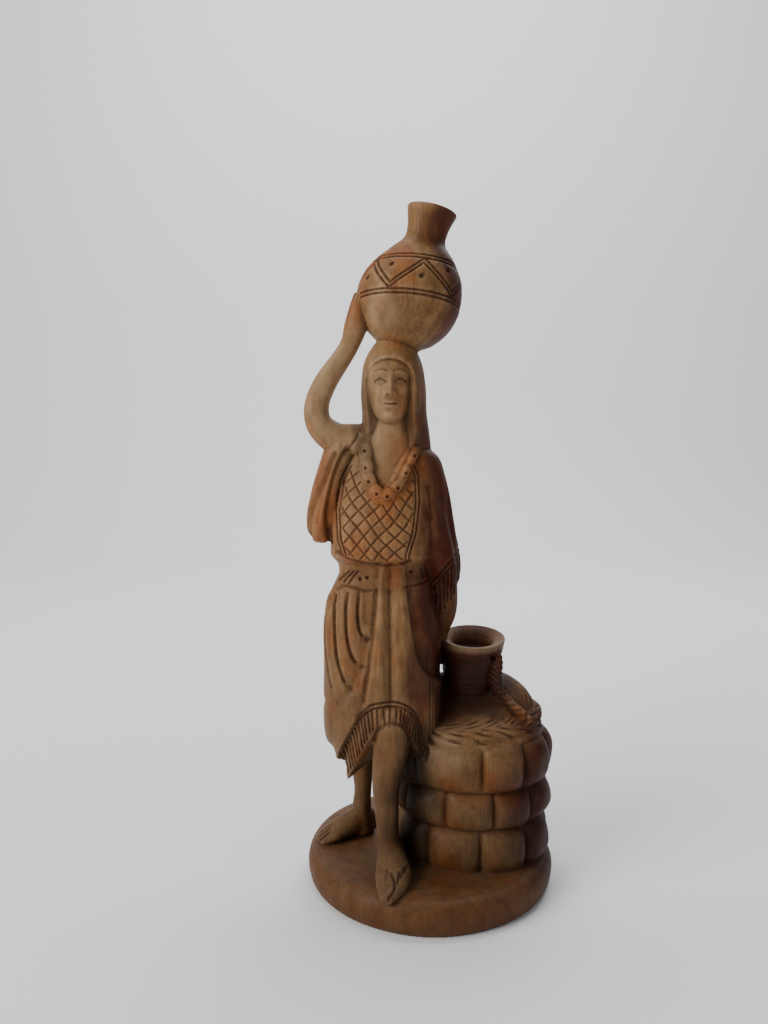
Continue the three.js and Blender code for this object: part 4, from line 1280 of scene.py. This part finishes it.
def olive_wood():
    """Colour from rings, fibres, the heartwood zone and tint patches (some of them painted shade and
    painted light), darker towards the foot partly as painted shade, then wear and painted shade in
    hollows; waxed, with a fine open grain.
    """
    material = bpy.data.materials.new("olive_wood")
    material.use_nodes = True
    nodes = Nodes(material.node_tree)
    shader = material.node_tree.nodes["Principled BSDF"].inputs
    mm = nodes.vector("MULTIPLY", nodes.add("TexCoord", {})["Object"], (1000, 1000, 1000))
    grain = nodes.add("Group", {"Vector": mm}, node_tree=grain_group())
    blotch = nodes.times(nodes.minus(grain["Blotch"], 0.5), 22.0)
    heart = nodes.ramp(nodes.plus(grain["Radius"], blotch), HEART_EDGE, HEART_FULL)
    patchy = nodes.noise(mm, (0.085, 0.085, 0.05), 3.0)
    line = nodes.times(grain["Rings"], nodes.line(heart, 0.25, 0.2))
    color = nodes.mix(nodes.ramp(grain["Fibre"], 0.28, 0.72, 0.1, 0.85), HONEY, MIDDLE)
    color = nodes.mix(nodes.ramp(grain["Blotch"], 0.42, 0.68, 0.0, 0.6), color, MIDDLE)
    color = nodes.mix(nodes.ramp(patchy, 0.48, 0.7, 0.0, 0.75), color, AMBER)
    color = nodes.mix(nodes.times(heart, 0.88), color, HEART_AND_SHADE)
    color = nodes.mix(line, color, LINE)
    color = nodes.mix(nodes.times(grain["Pores"], 0.3), color, LINE)
    patch = patch_group()
    for middle, size, tint, share in PATCHES:
        links = {"Vector": mm, "Middle": middle, "Size": size}
        mask = nodes.add("Group", links, node_tree=patch)["Mask"]
        color = nodes.mix(nodes.times(mask, share), color, tint)
    mottle = nodes.ramp(nodes.noise(mm, (0.22, 0.22, 0.16), 4.0, 0.6), 0.3, 0.6, 0.8, 1.05)
    height = nodes.add("SeparateXYZ", {0: mm})[2]
    # Darker towards the foot: painted shade where less light reaches the lower parts, and partly the
    # wood's darker patina; times a random mottle.
    tone = nodes.times(nodes.ramp(height, -10, 175, 0.4, 0.97), mottle)
    color = nodes.add("HueSaturation", {"Value": tone, "Saturation": 1.02, "Color": color})[0]
    links = {"Vector": mm, "Color": color}
    for socket, name in (("Cut", "stain"), ("Fine Hollow", "fine"), ("Wide Hollow", "wide"), ("Up", "up")):
        links[socket] = nodes.add("Attribute", {}, attribute_name=name)["Fac"]
    wear_and_shade = nodes.add("Group", links, node_tree=wear_and_shade_group())
    rough = nodes.line(grain["Fibre"], 0.16, 0.5)
    grooves = nodes.minus(grain["Fibre"], nodes.times(grain["Pores"], 0.8))
    bump = nodes.add("Bump", {"Strength": 0.22, "Distance": 0.0002, "Height": grooves})
    nodes.put(shader["Base Color"], wear_and_shade["Color"])
    nodes.put(shader["Roughness"], nodes.plus(rough, wear_and_shade["Roughness"], clamp=True))
    nodes.put(shader["Coat Weight"], nodes.line(wear_and_shade["Stain And Shade Mask"], -0.05, 0.06))
    nodes.put(shader["Coat Roughness"], 0.35)
    nodes.put(shader["Specular IOR Level"], 0.13)
    nodes.put(shader["Normal"], bump["Normal"])
    return material


statue.data.materials.clear()
statue.data.materials.append(olive_wood())
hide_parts("statue")
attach(statue, "root")
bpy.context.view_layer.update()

# %% [markdown]
# ## Floor and light
#
# A pale floor, a large soft light from the upper left as from a window, a weak fill from the
# right and an even pale surround.

# %%
def plain(name, color, roughness):
    """A material of one colour for the floor."""
    material = bpy.data.materials.new(name)
    material.use_nodes = True
    shader = material.node_tree.nodes["Principled BSDF"]
    shader.inputs["Base Color"].default_value = color
    shader.inputs["Roughness"].default_value = roughness
    return material


def backdrop():
    """Floor that curves up into a wall: a profile in (y, z) swept along x."""
    turn = np.linspace(0, pi / 2, 24)
    y = np.concatenate([[-1.6], 0.9 + 0.5 * np.sin(turn), [1.4]])
    z = np.concatenate([[0], 0.5 - 0.5 * np.cos(turn), [3.0]])
    x = np.array([-3.0, 3.0])
    grid = np.stack([np.repeat(x, len(y)), np.tile(y, 2), np.tile(z, 2)], -1)
    k = np.arange(len(y) - 1)
    faces = np.stack([k, k + len(y), k + len(y) + 1, k + 1], -1)
    mesh = mesh_of("backdrop", grid / MM, faces)
    mesh.shade_smooth()
    floor = bpy.data.objects.new("backdrop", mesh)
    bpy.context.scene.collection.objects.link(floor)
    mesh.materials.append(plain("pale", rgb(240, 240, 241), 0.8))


def lamp(name, place, aim, size, watts, color):
    """A square area light that looks at aim."""
    light = bpy.data.lights.new(name, "AREA")
    light.shape = "RECTANGLE"
    light.size, light.size_y = size
    light.energy = watts
    light.color = color
    obj = bpy.data.objects.new(name, light)
    x, y, z = (np.array(aim) - np.array(place)).tolist()
    flat = (x * x + y * y) ** 0.5
    obj.location = place
    obj.rotation_euler = (np.arctan2(flat, -z), 0, np.arctan2(-x, y))
    bpy.context.scene.collection.objects.link(obj)


backdrop()
lamp("window", (-1.05, -0.7, 0.8), (0, 0, 0.15), (0.8, 0.9), 18, (1.0, 0.985, 0.96))
lamp("fill", (1.1, -0.6, 0.5), (0, 0, 0.12), (0.9, 0.7), 1.2, (0.93, 0.96, 1.0))
lamp("wall", (0.0, 0.3, 1.5), (0, 1.5, 0.5), (1.2, 0.5), 19, (1.0, 1.0, 1.0))
lamp("rim", (0.4, 0.8, 0.9), (0, 0, 0.2), (0.6, 0.5), 3, (1.0, 1.0, 1.0))
world = bpy.data.worlds.new("surround")
bpy.context.scene.world = world
world.use_nodes = True
surround = world.node_tree.nodes["Background"].inputs
surround["Color"].default_value = rgb(206, 210, 216)
surround["Strength"].default_value = 0.44
